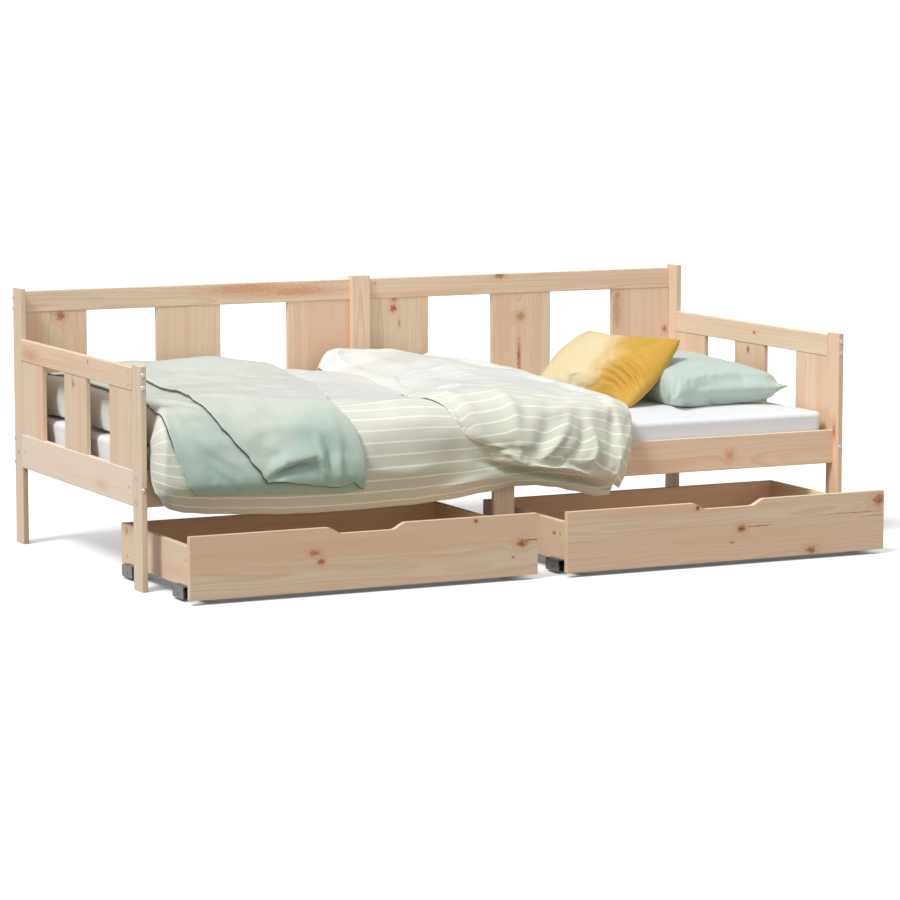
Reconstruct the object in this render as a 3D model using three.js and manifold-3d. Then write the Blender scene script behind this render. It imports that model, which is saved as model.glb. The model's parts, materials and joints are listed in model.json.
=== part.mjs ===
// Storage daybed: a pine frame, two roll-out drawers on casters, a mattress and its bedding.
// Millimetres, +Z up, +X along the bed to the right, +Y towards the wall side.
// The origin is the centre of the foot of the middle back post.

import * as THREE from "three";
import { mergeVertices } from "three/addons/utils/BufferGeometryUtils.js";
import Module from "manifold-3d";

const wasm = await Module();
wasm.setup();

// Frame, overall
const bedLength = 2055;
const bedDepth = 962;
const backHeight = 698;
const armHeight = 569;

// Frame boards
const boardThickness = 16;
const boardEdgeRadius = 2.5;
const endPostWidth = 61;
const middlePostWidth = 56;
const middlePostDepth = 34;
const middleLegWidth = 61;
const topRailHeight = 58;
const topRailStep = 9.5;
const armRailHeight = 59;
const armRailStep = 7;
const lowRailHeight = 92;
const lowRailLift = 211;
const frontRailSetback = 25;

// Upright slats of the back and the arms
const slatsPerBay = 3;
const slatThickness = 12;
const slatEdgeRadius = 2;
const backSlatWidth = 192;
const armSlatWidth = 167;
const tenonLength = 10;
const fitGap = 0.3;

// Ledges and the slatted base
const ledgeWidth = 30;
const ledgeHeight = 23;
const baseSlatCount = 14;
const baseSlatWidth = 70;
const baseSlatThickness = 18;
const baseSideGap = 12;
const baseEndGap = 2;
const tapeWidth = 26;
const tapeThickness = 1.5;
const tapeInset = 150;
const tapeSink = 0.5;

// Drawers
const drawerMiddleGap = 76;
const drawerEndGap = 16.5;
const drawerFrontHeight = 158;
const drawerFrontLift = 13;
const drawerFrontThickness = 18;
const drawerDepth = 540;
const drawerBoxInset = 25.5;
const drawerBoxHeight = 105;
const drawerBoxLift = 31;
const drawerSideThickness = 15;
const drawerBottomThickness = 5;
const drawerBottomLift = 10;
const drawerGrooveDepth = 6;
const gripTopWidth = 206;
const gripBottomWidth = 146;
const gripDepth = 17;
const gripCornerRadius = 12;
const leftDrawerOpening = 266;
const rightDrawerOpening = 287;

// Casters
const wheelDiameter = 32;
const wheelWidth = 13;
const wheelEdge = 2;
const wheelHubDiameter = 16;
const wheelHubRecess = 1.5;
const axleDiameter = 6;
const axleClearance = 0.3;
const wheelSideClearance = 0.6;
const bracketSheet = 2;
const bracketLength = 72;
const bracketHeight = 32;
const bracketCorner = 6;
const bracketTopGap = 3;
const casterInset = 48;

// Mattress
const mattressEndGap = 18.5;
const mattressFrontGap = 2;
const mattressBackGap = 5;
const mattressEdgeHeight = 100;
const mattressCrown = 5;
const mattressCornerRadius = 34;
const mattressEdgeRadius = 12;
const mattressDrawIn = 5;
const mattressCrownRun = 130;
const mattressShoulderShare = 0.33;
const mattressCrownRiseShare = 0.75;

// Duvet
const duvetLoft = 100;
const duvetFoldLoft = 56;
const duvetEdgeLoft = 4;
const duvetEdgeRound = 48;
const duvetClearance = 0.6;
const duvetBackGap = 8;
const duvetLeftGap = 24;
const duvetPillowGap = 629;
const duvetHangClearance = 3;
const duvetTurnRadius = 14;
const duvetDrop = 156;
const duvetFoldRun = 44;

// Throw
const throwLayer = 12;
const throwClearance = 1.5;
const throwEdgeRun = 18;
const throwBackGap = 30;
const throwDrop = 96;

// Pillows
const pillowLength = 600;
const pillowWidth = 372;
const pillowThickness = 116;
const pillowDrawInShare = 0.1;
const pillowCrownPower = 0.4;
const pillowFromArm = 217.5;
const pillowFromWall = 482;
const cushionSize = 318;
const cushionThickness = 112;
const cushionDrawInShare = 0.09;
const cushionFromPillow = 238;
const cushionFromWall = 484;
const restGap = 0.3;

// Angles in degrees
const pillowTurn = 1.5;
const pillowSideLean = -3.7;
const pillowEndLean = 3.9;
const cushionTurn = 27;
const cushionLean = -38;

// Counts of facets
const roundSteps = 2;
const wheelSteps = 16;
const cornerSteps = 5;
const pillowSteps = 14;

// Places that several pieces share
const backFaceY = middlePostDepth / 2;
const frontFaceY = backFaceY - bedDepth;
const outerX = bedLength / 2;
const innerX = outerX - boardThickness;
const halfMiddlePost = middlePostWidth / 2;
const railFaceY = backFaceY - boardThickness;
const frontRailFaceY = frontFaceY + frontRailSetback;
const frontRailBackY = frontRailFaceY + boardThickness;
const middlePostFaceY = backFaceY - middlePostDepth;
const armBackY = backFaceY - endPostWidth;
const armFrontY = frontFaceY + endPostWidth;
const topRailTop = backHeight - topRailStep;
const topRailBottom = topRailTop - topRailHeight;
const armRailTop = armHeight - armRailStep;
const armRailBottom = armRailTop - armRailHeight;
const lowRailTop = lowRailLift + lowRailHeight;
const ledgeTop = lowRailLift + ledgeHeight;
const baseTop = ledgeTop + baseSlatThickness;
const mattressTop = baseTop + mattressEdgeHeight + mattressCrown;
const mattressLength = 2 * (innerX - mattressEndGap);
const mattressFrontY = frontRailBackY + mattressFrontGap;
const mattressWidth = middlePostFaceY - mattressBackGap - mattressFrontY;
const duvetWidth = 2 * innerX - duvetLeftGap - duvetPillowGap;
const pillowX = innerX - pillowFromArm;

function finish(color, roughness, metalness = 0) {
  return new THREE.MeshStandardMaterial({ color, roughness, metalness });
}

const finishes = {
  pine: () => finish("#dcbf9c", 0.6),
  steel: () => finish("#9a9c9e", 0.35, 1),
  wheelPlastic: () => finish("#c9c9c6", 0.5),
  ticking: () => finish("#e4e6ea", 0.9),
  stripedCotton: () => finish("#cdd0bb", 0.95),
  quiltedCotton: () => finish("#b4cabc", 0.95),
  velvet: () => finish("#e9bd45", 0.8),
  mintCotton: () => finish("#bcd6ca", 0.9),
};

const daybed = new THREE.Group();

function addPiece(name, geometry, material, parent = daybed) {
  const mesh = new THREE.Mesh(geometry, material);
  mesh.name = name;
  parent.add(mesh);
  return mesh;
}

// Solids: joining and cutting closed geometry

function solidOf(geometry) {
  const bare = geometry.clone();
  bare.deleteAttribute("normal");
  bare.deleteAttribute("uv");
  const merged = mergeVertices(bare);
  return new wasm.Manifold(
    new wasm.Mesh({
      numProp: 3,
      vertProperties: new Float32Array(merged.attributes.position.array),
      triVerts: new Uint32Array(merged.index.array),
    }),
  );
}

function geometryOf(solid) {
  const mesh = solid.getMesh();
  const geometry = new THREE.BufferGeometry();
  geometry.setAttribute("position", new THREE.BufferAttribute(mesh.vertProperties, 3));
  geometry.setIndex(new THREE.BufferAttribute(mesh.triVerts, 1));
  geometry.computeVertexNormals();
  return geometry;
}

function carve(geometry, cutters, additions = []) {
  let solid = solidOf(geometry);
  for (const cutter of cutters) solid = solid.subtract(solidOf(cutter));
  for (const addition of additions) solid = solid.add(solidOf(addition));
  return geometryOf(solid);
}

function cut(geometry, cutters) {
  return carve(geometry, cutters);
}

function join([first, ...rest]) {
  return carve(first, [], rest);
}

// Boards: a section drawn on two axes and pushed along the third

const otherAxes = { x: [1, 2], y: [2, 0], z: [0, 1] };
const axisIndex = { x: 0, y: 1, z: 2 };

function pushAlong(section, axis, from, to) {
  const geometry = new THREE.ExtrudeGeometry(section, {
    depth: to - from,
    bevelEnabled: false,
    curveSegments: roundSteps,
  });
  const place = geometry.attributes.position;
  const [first, second] = otherAxes[axis];
  const moved = [0, 0, 0];
  for (let i = 0; i < place.count; i++) {
    moved[first] = place.getX(i);
    moved[second] = place.getY(i);
    moved[axisIndex[axis]] = place.getZ(i) + from;
    place.setXYZ(i, ...moved);
  }
  geometry.computeVertexNormals();
  return geometry;
}

function roundedRectangle(low, high, radius) {
  const [left, bottom] = low;
  const [right, top] = high;
  const quarter = Math.PI / 2;
  const outline = new THREE.Shape();
  outline.absarc(right - radius, bottom + radius, radius, -quarter, 0);
  outline.absarc(right - radius, top - radius, radius, 0, quarter);
  outline.absarc(left + radius, top - radius, radius, quarter, 2 * quarter);
  outline.absarc(left + radius, bottom + radius, radius, 2 * quarter, 3 * quarter);
  return outline;
}

function board(low, high, axis, radius = boardEdgeRadius) {
  const [first, second] = otherAxes[axis];
  const along = axisIndex[axis];
  const section = roundedRectangle([low[first], low[second]], [high[first], high[second]], radius);
  return pushAlong(section, axis, low[along], high[along]);
}

function block(low, high) {
  const size = high.map((value, i) => value - low[i]);
  const geometry = new THREE.BoxGeometry(...size);
  geometry.translate(...high.map((value, i) => (value + low[i]) / 2));
  return geometry;
}

function grown(low, high, gap) {
  return block(
    low.map((value) => value - gap),
    high.map((value) => value + gap),
  );
}

// Posts and legs

function addEndPosts() {
  const ends = { left: [-outerX, -innerX], right: [innerX, outerX] };
  for (const [side, [low, high]] of Object.entries(ends)) {
    const backPost = board([low, armBackY, 0], [high, backFaceY, backHeight], "z");
    addPiece("post_back_" + side, backPost, finishes.pine());
    const frontPost = board([low, frontFaceY, 0], [high, armFrontY, armHeight], "z");
    addPiece("post_front_" + side, frontPost, finishes.pine());
  }
}

function addMiddlePosts() {
  const post = board(
    [-halfMiddlePost, middlePostFaceY, 0],
    [halfMiddlePost, backFaceY, backHeight],
    "z",
  );
  const railRun = [
    [-middlePostWidth, railFaceY - fitGap, lowRailLift - fitGap],
    [middlePostWidth, backFaceY + boardThickness, lowRailTop + fitGap],
  ];
  addPiece("post_back_middle", cut(post, [block(...railRun)]), finishes.pine());
  const halfLeg = middleLegWidth / 2;
  const leg = board([-halfLeg, frontRailFaceY, 0], [halfLeg, frontRailBackY, lowRailLift], "z");
  addPiece("leg_front_middle", leg, finishes.pine());
}

// Rails with a mortise for each slat tenon

function slatSpans(from, to, width) {
  const pitch = (to - from - width) / (slatsPerBay - 1);
  return Array.from({ length: slatsPerBay }, (_, i) => [
    from + i * pitch,
    from + i * pitch + width,
  ]);
}

const backBays = {
  left: [-innerX, -halfMiddlePost],
  right: [halfMiddlePost, innerX],
};
const backSlatY = [
  railFaceY + (boardThickness - slatThickness) / 2,
  railFaceY + (boardThickness + slatThickness) / 2,
];

function backSlatCorners([from, to]) {
  return [
    [from, backSlatY[0], lowRailTop - tenonLength],
    [to, backSlatY[1], topRailBottom + tenonLength],
  ];
}

function addBack() {
  const sides = Object.entries(backBays);
  const spans = sides.flatMap(([, bay]) => slatSpans(...bay, backSlatWidth));
  const mortises = spans.map((span) => grown(...backSlatCorners(span), fitGap));
  for (const [side, [from, to]] of sides) {
    const rail = board([from, railFaceY, topRailBottom], [to, backFaceY, topRailTop], "x");
    addPiece("back_top_rail_" + side, cut(rail, mortises), finishes.pine());
  }
  const lowRail = board([-innerX, railFaceY, lowRailLift], [innerX, backFaceY, lowRailTop], "x");
  addPiece("back_low_rail", cut(lowRail, mortises), finishes.pine());
  spans.forEach((span, i) => {
    const slat = board(...backSlatCorners(span), "z", slatEdgeRadius);
    addPiece("back_slat_" + (i + 1), slat, finishes.pine());
  });
}

function addArm(side, sign) {
  const middleX = (sign * (outerX + innerX)) / 2;
  const lowX = middleX - boardThickness / 2;
  const highX = middleX + boardThickness / 2;
  const spans = slatSpans(armFrontY, armBackY, armSlatWidth);
  const corners = spans.map(([from, to]) => [
    [middleX - slatThickness / 2, from, lowRailTop - tenonLength],
    [middleX + slatThickness / 2, to, armRailBottom + tenonLength],
  ]);
  const mortises = corners.map((pair) => grown(...pair, fitGap));
  const topRail = board([lowX, armFrontY, armRailBottom], [highX, armBackY, armRailTop], "y");
  addPiece(`arm_${side}_top_rail`, cut(topRail, mortises), finishes.pine());
  const lowRail = board([lowX, armFrontY, lowRailLift], [highX, armBackY, lowRailTop], "y");
  addPiece(`arm_${side}_low_rail`, cut(lowRail, mortises), finishes.pine());
  corners.forEach((pair, i) => {
    const slat = board(...pair, "z", slatEdgeRadius);
    addPiece(`arm_${side}_slat_${i + 1}`, slat, finishes.pine());
  });
}

// Front rail, ledges and the slatted base that rests on them

function addBed() {
  const rail = board(
    [-innerX, frontRailFaceY, lowRailLift],
    [innerX, frontRailBackY, lowRailTop],
    "x",
  );
  addPiece("front_rail", rail, finishes.pine());

  const ledgeX = innerX - baseEndGap;
  const frontLedgeY = frontRailBackY + ledgeWidth;
  const backLedgeY = railFaceY - ledgeWidth;
  const frontLedge = board(
    [-ledgeX, frontRailBackY, lowRailLift],
    [ledgeX, frontLedgeY, ledgeTop],
    "x",
  );
  addPiece("ledge_front", frontLedge, finishes.pine());
  const backLedge = board([-ledgeX, backLedgeY, lowRailLift], [ledgeX, railFaceY, ledgeTop], "x");
  const aroundPost = block(
    [-halfMiddlePost - fitGap, middlePostFaceY - fitGap, 0],
    [halfMiddlePost + fitGap, backFaceY, backHeight],
  );
  addPiece("ledge_back", cut(backLedge, [aroundPost]), finishes.pine());

  const slatLow = frontRailBackY + baseSideGap;
  const slatHigh = railFaceY - baseSideGap;
  const firstX = -ledgeX;
  const pitch = (2 * ledgeX - baseSlatWidth) / (baseSlatCount - 1);
  const parts = Array.from({ length: baseSlatCount }, (_, i) => {
    const from = firstX + i * pitch;
    return block([from, slatLow, ledgeTop], [from + baseSlatWidth, slatHigh, baseTop]);
  });
  for (const tapeY of [slatLow + tapeInset, slatHigh - tapeInset]) {
    const low = [firstX + tapeSink, tapeY - tapeWidth / 2, ledgeTop - tapeThickness];
    const high = [-firstX - tapeSink, tapeY + tapeWidth / 2, ledgeTop + tapeSink];
    parts.push(block(low, high));
  }
  addPiece("slatted_base", join(parts), finishes.pine());
}

// Casters

const wheelRadius = wheelDiameter / 2;
const bracketWidth = 2 * bracketSheet + 2 * wheelSideClearance + wheelWidth;

function wheelGeometry() {
  const bore = axleDiameter / 2 + axleClearance;
  const half = wheelWidth / 2;
  const hub = wheelHubDiameter / 2;
  const recess = half - wheelHubRecess;
  const profile = [
    [bore, -recess],
    [hub, -recess],
    [hub + wheelHubRecess, -half],
    [wheelRadius - wheelEdge, -half],
    [wheelRadius, -half + wheelEdge],
    [wheelRadius, half - wheelEdge],
    [wheelRadius - wheelEdge, half],
    [hub + wheelHubRecess, half],
    [hub, recess],
    [bore, recess],
    [bore, -recess],
  ];
  const points = profile.map(([radius, across]) => new THREE.Vector2(radius, across));
  const geometry = new THREE.LatheGeometry(points, wheelSteps);
  geometry.rotateZ(Math.PI / 2);
  return geometry;
}

function bracketGeometry() {
  const top = wheelRadius + bracketTopGap + bracketSheet;
  const section = roundedRectangle(
    [-bracketLength / 2, top - bracketHeight],
    [bracketLength / 2, top],
    bracketCorner,
  );
  const shell = pushAlong(section, "x", -bracketWidth / 2, bracketWidth / 2);
  const slotHalf = wheelWidth / 2 + wheelSideClearance;
  const slot = block(
    [-slotHalf, -bracketLength, top - bracketHeight - bracketSheet],
    [slotHalf, bracketLength, wheelRadius + bracketTopGap],
  );
  const axle = new THREE.CylinderGeometry(axleDiameter / 2, axleDiameter / 2, bracketWidth, wheelSteps);
  axle.rotateZ(Math.PI / 2);
  return carve(shell, [slot], [axle]);
}

// One drawer, drawn about the middle of its front face's foot and placed by its group

const drawerWidth = innerX - drawerEndGap - drawerMiddleGap / 2;

function drawerFrontOutline() {
  const half = drawerWidth / 2;
  const top = drawerFrontLift + drawerFrontHeight;
  const floor = top - gripDepth;
  const topHalf = gripTopWidth / 2;
  const bottomHalf = gripBottomWidth / 2;
  const slope = new THREE.Vector2(topHalf - bottomHalf, gripDepth).normalize();
  const back = slope.clone().multiplyScalar(gripCornerRadius / 2);
  const outline = new THREE.Shape();
  outline.moveTo(-half, drawerFrontLift);
  outline.lineTo(half, drawerFrontLift);
  outline.lineTo(half, top);
  for (const sign of [1, -1]) {
    const mouth = [sign * topHalf, top];
    const heel = [sign * bottomHalf, floor];
    const corners = sign > 0 ? [mouth, heel] : [heel, mouth];
    for (const corner of corners) {
      const atMouth = corner === mouth;
      const flat = [corner[0] + (atMouth ? sign : -sign) * (gripCornerRadius / 2), corner[1]];
      const ramp = [
        corner[0] + (atMouth ? -sign : sign) * back.x,
        corner[1] + (atMouth ? -back.y : back.y),
      ];
      const [start, end] = (sign > 0) === atMouth ? [flat, ramp] : [ramp, flat];
      outline.lineTo(...start);
      outline.quadraticCurveTo(...corner, ...end);
    }
  }
  outline.lineTo(-half, top);
  return outline;
}

function sideView(outline) {
  const points = outline.extractPoints(roundSteps).shape;
  return new THREE.Shape(points.map((point) => new THREE.Vector2(point.y, point.x)));
}

function addDrawer(side, centreX, opening) {
  const group = new THREE.Group();
  group.position.set(centreX, frontRailFaceY - opening, 0);
  daybed.add(group);

  const boxHalf = drawerWidth / 2 - drawerBoxInset;
  const innerHalf = boxHalf - drawerSideThickness;
  const boxTop = drawerBoxLift + drawerBoxHeight;
  const backInnerY = drawerDepth - drawerSideThickness;
  const panelFoot = drawerBoxLift + drawerBottomLift;
  const panelLow = [-innerHalf - drawerGrooveDepth, drawerFrontThickness - drawerGrooveDepth, panelFoot];
  const panelHigh = [
    innerHalf + drawerGrooveDepth,
    backInnerY + drawerGrooveDepth,
    panelFoot + drawerBottomThickness,
  ];
  const groove = grown(panelLow, panelHigh, fitGap);

  const name = (piece) => `drawer_${side}_${piece}`;
  const front = pushAlong(sideView(drawerFrontOutline()), "y", 0, drawerFrontThickness);
  addPiece(name("front"), cut(front, [groove]), finishes.pine(), group);
  addPiece(name("bottom"), block(panelLow, panelHigh), finishes.pine(), group);
  const back = board(
    [-innerHalf, backInnerY, drawerBoxLift],
    [innerHalf, drawerDepth, boxTop],
    "x",
    slatEdgeRadius,
  );
  addPiece(name("back"), cut(back, [groove]), finishes.pine(), group);

  for (const [end, sign] of [["left", -1], ["right", 1]]) {
    const faces = [sign * innerHalf, sign * boxHalf];
    const wall = board(
      [Math.min(...faces), drawerFrontThickness, drawerBoxLift],
      [Math.max(...faces), drawerDepth, boxTop],
      "y",
      slatEdgeRadius,
    );
    addPiece(name("side_" + end), cut(wall, [groove]), finishes.pine(), group);
    const casterX = sign * (boxHalf + bracketWidth / 2);
    const casterRows = {
      front: drawerFrontThickness + casterInset + bracketLength / 2,
      back: drawerDepth - casterInset - bracketLength / 2,
    };
    for (const [row, casterY] of Object.entries(casterRows)) {
      const pieces = [
        addPiece(name(`bracket_${row}_${end}`), bracketGeometry(), finishes.steel(), group),
        addPiece(name(`wheel_${row}_${end}`), wheelGeometry(), finishes.wheelPlastic(), group),
      ];
      for (const piece of pieces) piece.position.set(casterX, casterY, wheelRadius);
    }
  }
}

// Mattress: rounded rings from the base up, closed by a crowned top

function ringPoints(inset, height) {
  const halfLength = mattressLength / 2 - inset;
  const halfWidth = mattressWidth / 2 - inset;
  const radius = Math.max(mattressCornerRadius - inset, mattressEdgeRadius);
  const centreY = mattressFrontY + mattressWidth / 2;
  const points = [];
  for (let corner = 0; corner < 4; corner++) {
    const signX = corner === 0 || corner === 3 ? 1 : -1;
    const signY = corner < 2 ? 1 : -1;
    for (let step = 0; step <= cornerSteps; step++) {
      const angle = ((corner + step / cornerSteps) * Math.PI) / 2;
      points.push([
        signX * (halfLength - radius) + radius * Math.cos(angle),
        centreY + signY * (halfWidth - radius) + radius * Math.sin(angle),
        height,
      ]);
    }
  }
  return points;
}

function loft(rings) {
  const count = rings[0].length;
  const positions = rings.flat(2);
  const index = [];
  for (let level = 0; level + 1 < rings.length; level++) {
    for (let i = 0; i < count; i++) {
      const a = level * count + i;
      const b = level * count + ((i + 1) % count);
      index.push(a, b, b + count, a, b + count, a + count);
    }
  }
  const last = (rings.length - 1) * count;
  for (let i = 1; i + 1 < count; i++) {
    index.push(0, i + 1, i, last, last + i, last + i + 1);
  }
  return meshFrom(positions, index);
}

function meshFrom(positions, index) {
  const geometry = new THREE.BufferGeometry();
  geometry.setAttribute("position", new THREE.Float32BufferAttribute(positions, 3));
  geometry.setIndex(index);
  geometry.computeVertexNormals();
  return geometry;
}

function addMattress() {
  const edge = mattressEdgeRadius;
  const top = baseTop + mattressEdgeHeight;
  const rings = [
    ringPoints(edge, baseTop),
    ringPoints(0, baseTop + edge),
    ringPoints(mattressDrawIn, (baseTop + top) / 2),
    ringPoints(0, top - edge),
    ringPoints(mattressShoulderShare * edge, top - mattressShoulderShare * edge),
    ringPoints(edge, top),
    ringPoints(mattressCrownRun / 2, top + mattressCrownRiseShare * mattressCrown),
    ringPoints(mattressCrownRun, mattressTop),
  ];
  addPiece("mattress", loft(rings), finishes.ticking());
}

// Bedding: a surface over the path that runs from the wall, along the mattress and down the front

const pathBackY = middlePostFaceY - duvetBackGap;
const pathTurnY = frontRailFaceY - duvetHangClearance + duvetTurnRadius;
const pathTopZ = mattressTop + duvetClearance;
const pathFlat = pathBackY - pathTurnY;
const pathTurn = (duvetTurnRadius * Math.PI) / 2;
const turnShare = pathFlat / (pathFlat + pathTurn + duvetDrop);
const hangShare = (pathFlat + pathTurn) / (pathFlat + pathTurn + duvetDrop);

// A place on the path for a share of its length, and the direction that faces out there
function pathAt(share) {
  const run = share * (pathFlat + pathTurn + duvetDrop);
  if (run <= pathFlat) return { y: pathBackY - run, z: pathTopZ, outY: 0, outZ: 1 };
  const angle = Math.min((run - pathFlat) / duvetTurnRadius, Math.PI / 2);
  const down = Math.max(run - pathFlat - pathTurn, 0);
  return {
    y: pathTurnY - duvetTurnRadius * Math.sin(angle),
    z: pathTopZ - duvetTurnRadius * (1 - Math.cos(angle)) - down,
    outY: -Math.sin(angle),
    outZ: Math.cos(angle),
  };
}

function smooth(share) {
  const held = Math.min(Math.max(share, 0), 1);
  return held * held * (3 - 2 * held);
}

// The value at a share, eased between the values that a table gives at its own shares
function eased(share, shares, values) {
  const last = shares.length - 1;
  if (share <= shares[0]) return values[0];
  if (share >= shares[last]) return values[last];
  const i = shares.findIndex((value) => value > share) - 1;
  const within = smooth((share - shares[i]) / (shares[i + 1] - shares[i]));
  return values[i] + (values[i + 1] - values[i]) * within;
}

// Duvet loft, as shares of the full loft: a row for each share of the path, a column for each
// share of the width from the left arm to the turned-back edge
const loftRowShares = [0, 0.04, 0.22, 0.41, 0.6, 0.78, 0.85, 0.92, 1];
const loftColumnShares = [0, 0.15, 0.35, 0.5, 0.62, 1];
const loftShares = [
  [0.9, 0.95, 0.95, 0.9, 0.8, 0.7],
  [1, 1.08, 1.1, 0.98, 0.84, 0.75],
  [1.1, 1.3, 1.32, 1.08, 0.93, 0.8],
  [1.05, 1.18, 1.1, 0.86, 0.75, 0.75],
  [1, 1.1, 0.9, 0.68, 0.56, 0.6],
  [0.95, 1, 0.7, 0.54, 0.5, 0.52],
  [0.95, 0.98, 0.72, 0.62, 0.58, 0.6],
  [0.78, 0.78, 0.76, 0.72, 0.7, 0.66],
  [0.5, 0.55, 0.6, 0.62, 0.6, 0.5],
];
const foldRowShares = [0, 0.04, 0.22, 0.6, 0.85, 1];
const foldLoftShares = [0.8, 0.95, 0.9, 0.82, 0.75, 0.6];
const foldEdgeShares = [0.62, 0.62, 0.63, 0.7, 0.66, 0.71];
const hemColumnShares = [0, 0.05, 0.17, 0.34, 0.5, 0.68, 0.83, 0.94, 1];
const hemDropShares = [0.55, 0.76, 0.98, 1.04, 1, 0.92, 1, 1.02, 0.5];
const leftRowShares = [0, 0.8, 0.9, 1];
const leftEdgeShares = [0, 0, -0.011, 0.02];
const rightRowShares = [0, 0.04, 0.22, 0.41, 0.6, 0.78, 0.86, 0.93, 1];
const rightEdgeShares = [0.9, 0.92, 0.95, 0.97, 0.985, 1, 0.99, 0.975, 0.93];

const duvetLeftX = -innerX + duvetLeftGap;

function duvetX(across, along) {
  const left = eased(along, leftRowShares, leftEdgeShares);
  const right = eased(along, rightRowShares, rightEdgeShares);
  return duvetLeftX + duvetWidth * (left + (right - left) * across);
}

function duvetColumn(x, along) {
  const left = eased(along, leftRowShares, leftEdgeShares);
  const right = eased(along, rightRowShares, rightEdgeShares);
  return ((x - duvetLeftX) / duvetWidth - left) / (right - left);
}

function roundedEdge(distance, radius) {
  const short = 1 - Math.min(Math.max(distance / radius, 0), 1);
  return Math.sqrt(1 - short * short);
}

// The share of the path on which a point of the duvet lies: the hem is longer in some places
function duvetAlong(along, across) {
  const hem = eased(across, hemColumnShares, hemDropShares);
  if (along <= hangShare) return along;
  return hangShare + (along - hangShare) * hem;
}

function duvetThickness(across, along) {
  const rows = loftShares.map((row) => eased(across, loftColumnShares, row));
  const base = duvetLoft * eased(along, loftRowShares, rows);
  const foldEdge = eased(along, foldRowShares, foldEdgeShares);
  const foldRun = duvetFoldRun / duvetWidth;
  const fold = eased(along, foldRowShares, foldLoftShares) * smooth((across - foldEdge) / foldRun);
  const toSide = Math.min(across, 1 - across) * duvetWidth;
  const pathLength = pathFlat + pathTurn + duvetDrop;
  const toEnd = Math.min(along, 1 - along) * pathLength;
  const edge = roundedEdge(toSide, duvetEdgeRound) * roundedEdge(toEnd, duvetEdgeRound);
  return duvetEdgeLoft + (base + duvetFoldLoft * fold - duvetEdgeLoft) * edge;
}

function offsetPoint(x, along, distance) {
  const at = pathAt(along);
  return [x, at.y + at.outY * distance, at.z + at.outZ * distance];
}

// A closed shell from a grid of lower points and a grid of upper points
function shellBetween(lower, upper) {
  const rows = lower.length;
  const columns = lower[0].length;
  const positions = [...lower.flat(2), ...upper.flat(2)];
  const top = rows * columns;
  const at = (row, column) => row * columns + column;
  const index = [];
  const quad = (a, b, c, d) => index.push(a, b, c, a, c, d);
  for (let row = 0; row + 1 < rows; row++) {
    for (let column = 0; column + 1 < columns; column++) {
      const corners = [at(row, column), at(row + 1, column), at(row + 1, column + 1), at(row, column + 1)];
      quad(...corners.map((corner) => corner + top));
      quad(...corners.reverse());
    }
  }
  const rim = (a, b) => quad(a, b, b + top, a + top);
  for (let row = 0; row + 1 < rows; row++) {
    rim(at(row, 0), at(row + 1, 0));
    rim(at(row + 1, columns - 1), at(row, columns - 1));
  }
  for (let column = 0; column + 1 < columns; column++) {
    rim(at(0, column + 1), at(0, column));
    rim(at(rows - 1, column), at(rows - 1, column + 1));
  }
  return meshFrom(positions, index);
}

// Shares of a run that lie close together at its two ends
function endSpaced(count, endShares) {
  const middle = count - 2 * endShares.length;
  const first = endShares[endShares.length - 1];
  const inner = Array.from(
    { length: middle },
    (_, i) => first + ((1 - 2 * first) * (i + 1)) / (middle + 1),
  );
  return [...endShares, ...inner, ...endShares.map((share) => 1 - share).reverse()];
}

const duvetColumnShares = endSpaced(28, [0, 0.004, 0.014, 0.034]);
const flatRowShares = [0, 0.008, 0.025, 0.055, 0.15, 0.27, 0.4, 0.53, 0.67, 0.8, 0.91, 1];
const turnRowShares = [0.25, 0.5, 0.75, 1];
const hangRowShares = [0.25, 0.5, 0.72, 0.88, 0.97, 1];
const duvetRowShares = [
  ...flatRowShares.map((share) => share * turnShare),
  ...turnRowShares.map((share) => turnShare + (hangShare - turnShare) * share),
  ...hangRowShares.map((share) => hangShare + (1 - hangShare) * share),
];

function addDuvet() {
  const grid = (thickness) =>
    duvetRowShares.map((along) =>
      duvetColumnShares.map((across) =>
        offsetPoint(duvetX(across, along), duvetAlong(along, across), thickness(across, along)),
      ),
    );
  addPiece("duvet", shellBetween(grid(() => 0), grid(duvetThickness)), finishes.stripedCotton());
}

// Throw: laid double over the left end of the duvet, as shares of the duvet's width
const throwRowShares = [0, 0.3, 0.6, 0.78, 0.86, 0.93, 1];
const throwLeftShares = [0.02, 0.02, 0.02, 0.024, 0.03, 0.044, 0.075];
const throwRightShares = [0.445, 0.44, 0.425, 0.385, 0.375, 0.39, 0.395];
const throwFoldShares = [0.06, 0.07, 0.1, 0.105, 0.13, 0.19, 0.245];
const throwColumnShares = endSpaced(20, [0, 0.02]);

function throwThickness(across, x, along) {
  const foldX = duvetLeftX + duvetWidth * eased(along, throwRowShares, throwFoldShares);
  return throwLayer * (1 + smooth((x - foldX) / throwEdgeRun));
}

function addThrow() {
  const pathLength = pathFlat + pathTurn + duvetDrop;
  const start = throwBackGap / pathLength;
  const hemShare = hangShare + throwDrop / pathLength;
  const rows = [start, ...duvetRowShares.filter((share) => share > start && share < hemShare), hemShare];
  const grid = (thickness) =>
    rows.map((along) => {
      const left = duvetWidth * eased(along, throwRowShares, throwLeftShares);
      const right = duvetWidth * eased(along, throwRowShares, throwRightShares);
      return throwColumnShares.map((across) => {
        const x = duvetLeftX + left + (right - left) * across;
        const column = duvetColumn(x, along);
        const under = duvetThickness(column, along) + throwClearance;
        return offsetPoint(x, duvetAlong(along, column), under + thickness(across, x, along));
      });
    });
  addPiece("throw", shellBetween(grid(() => 0), grid(throwThickness)), finishes.quiltedCotton());
}

// Pillows: two crowned faces that meet in an edge drawn in between its corners

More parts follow.
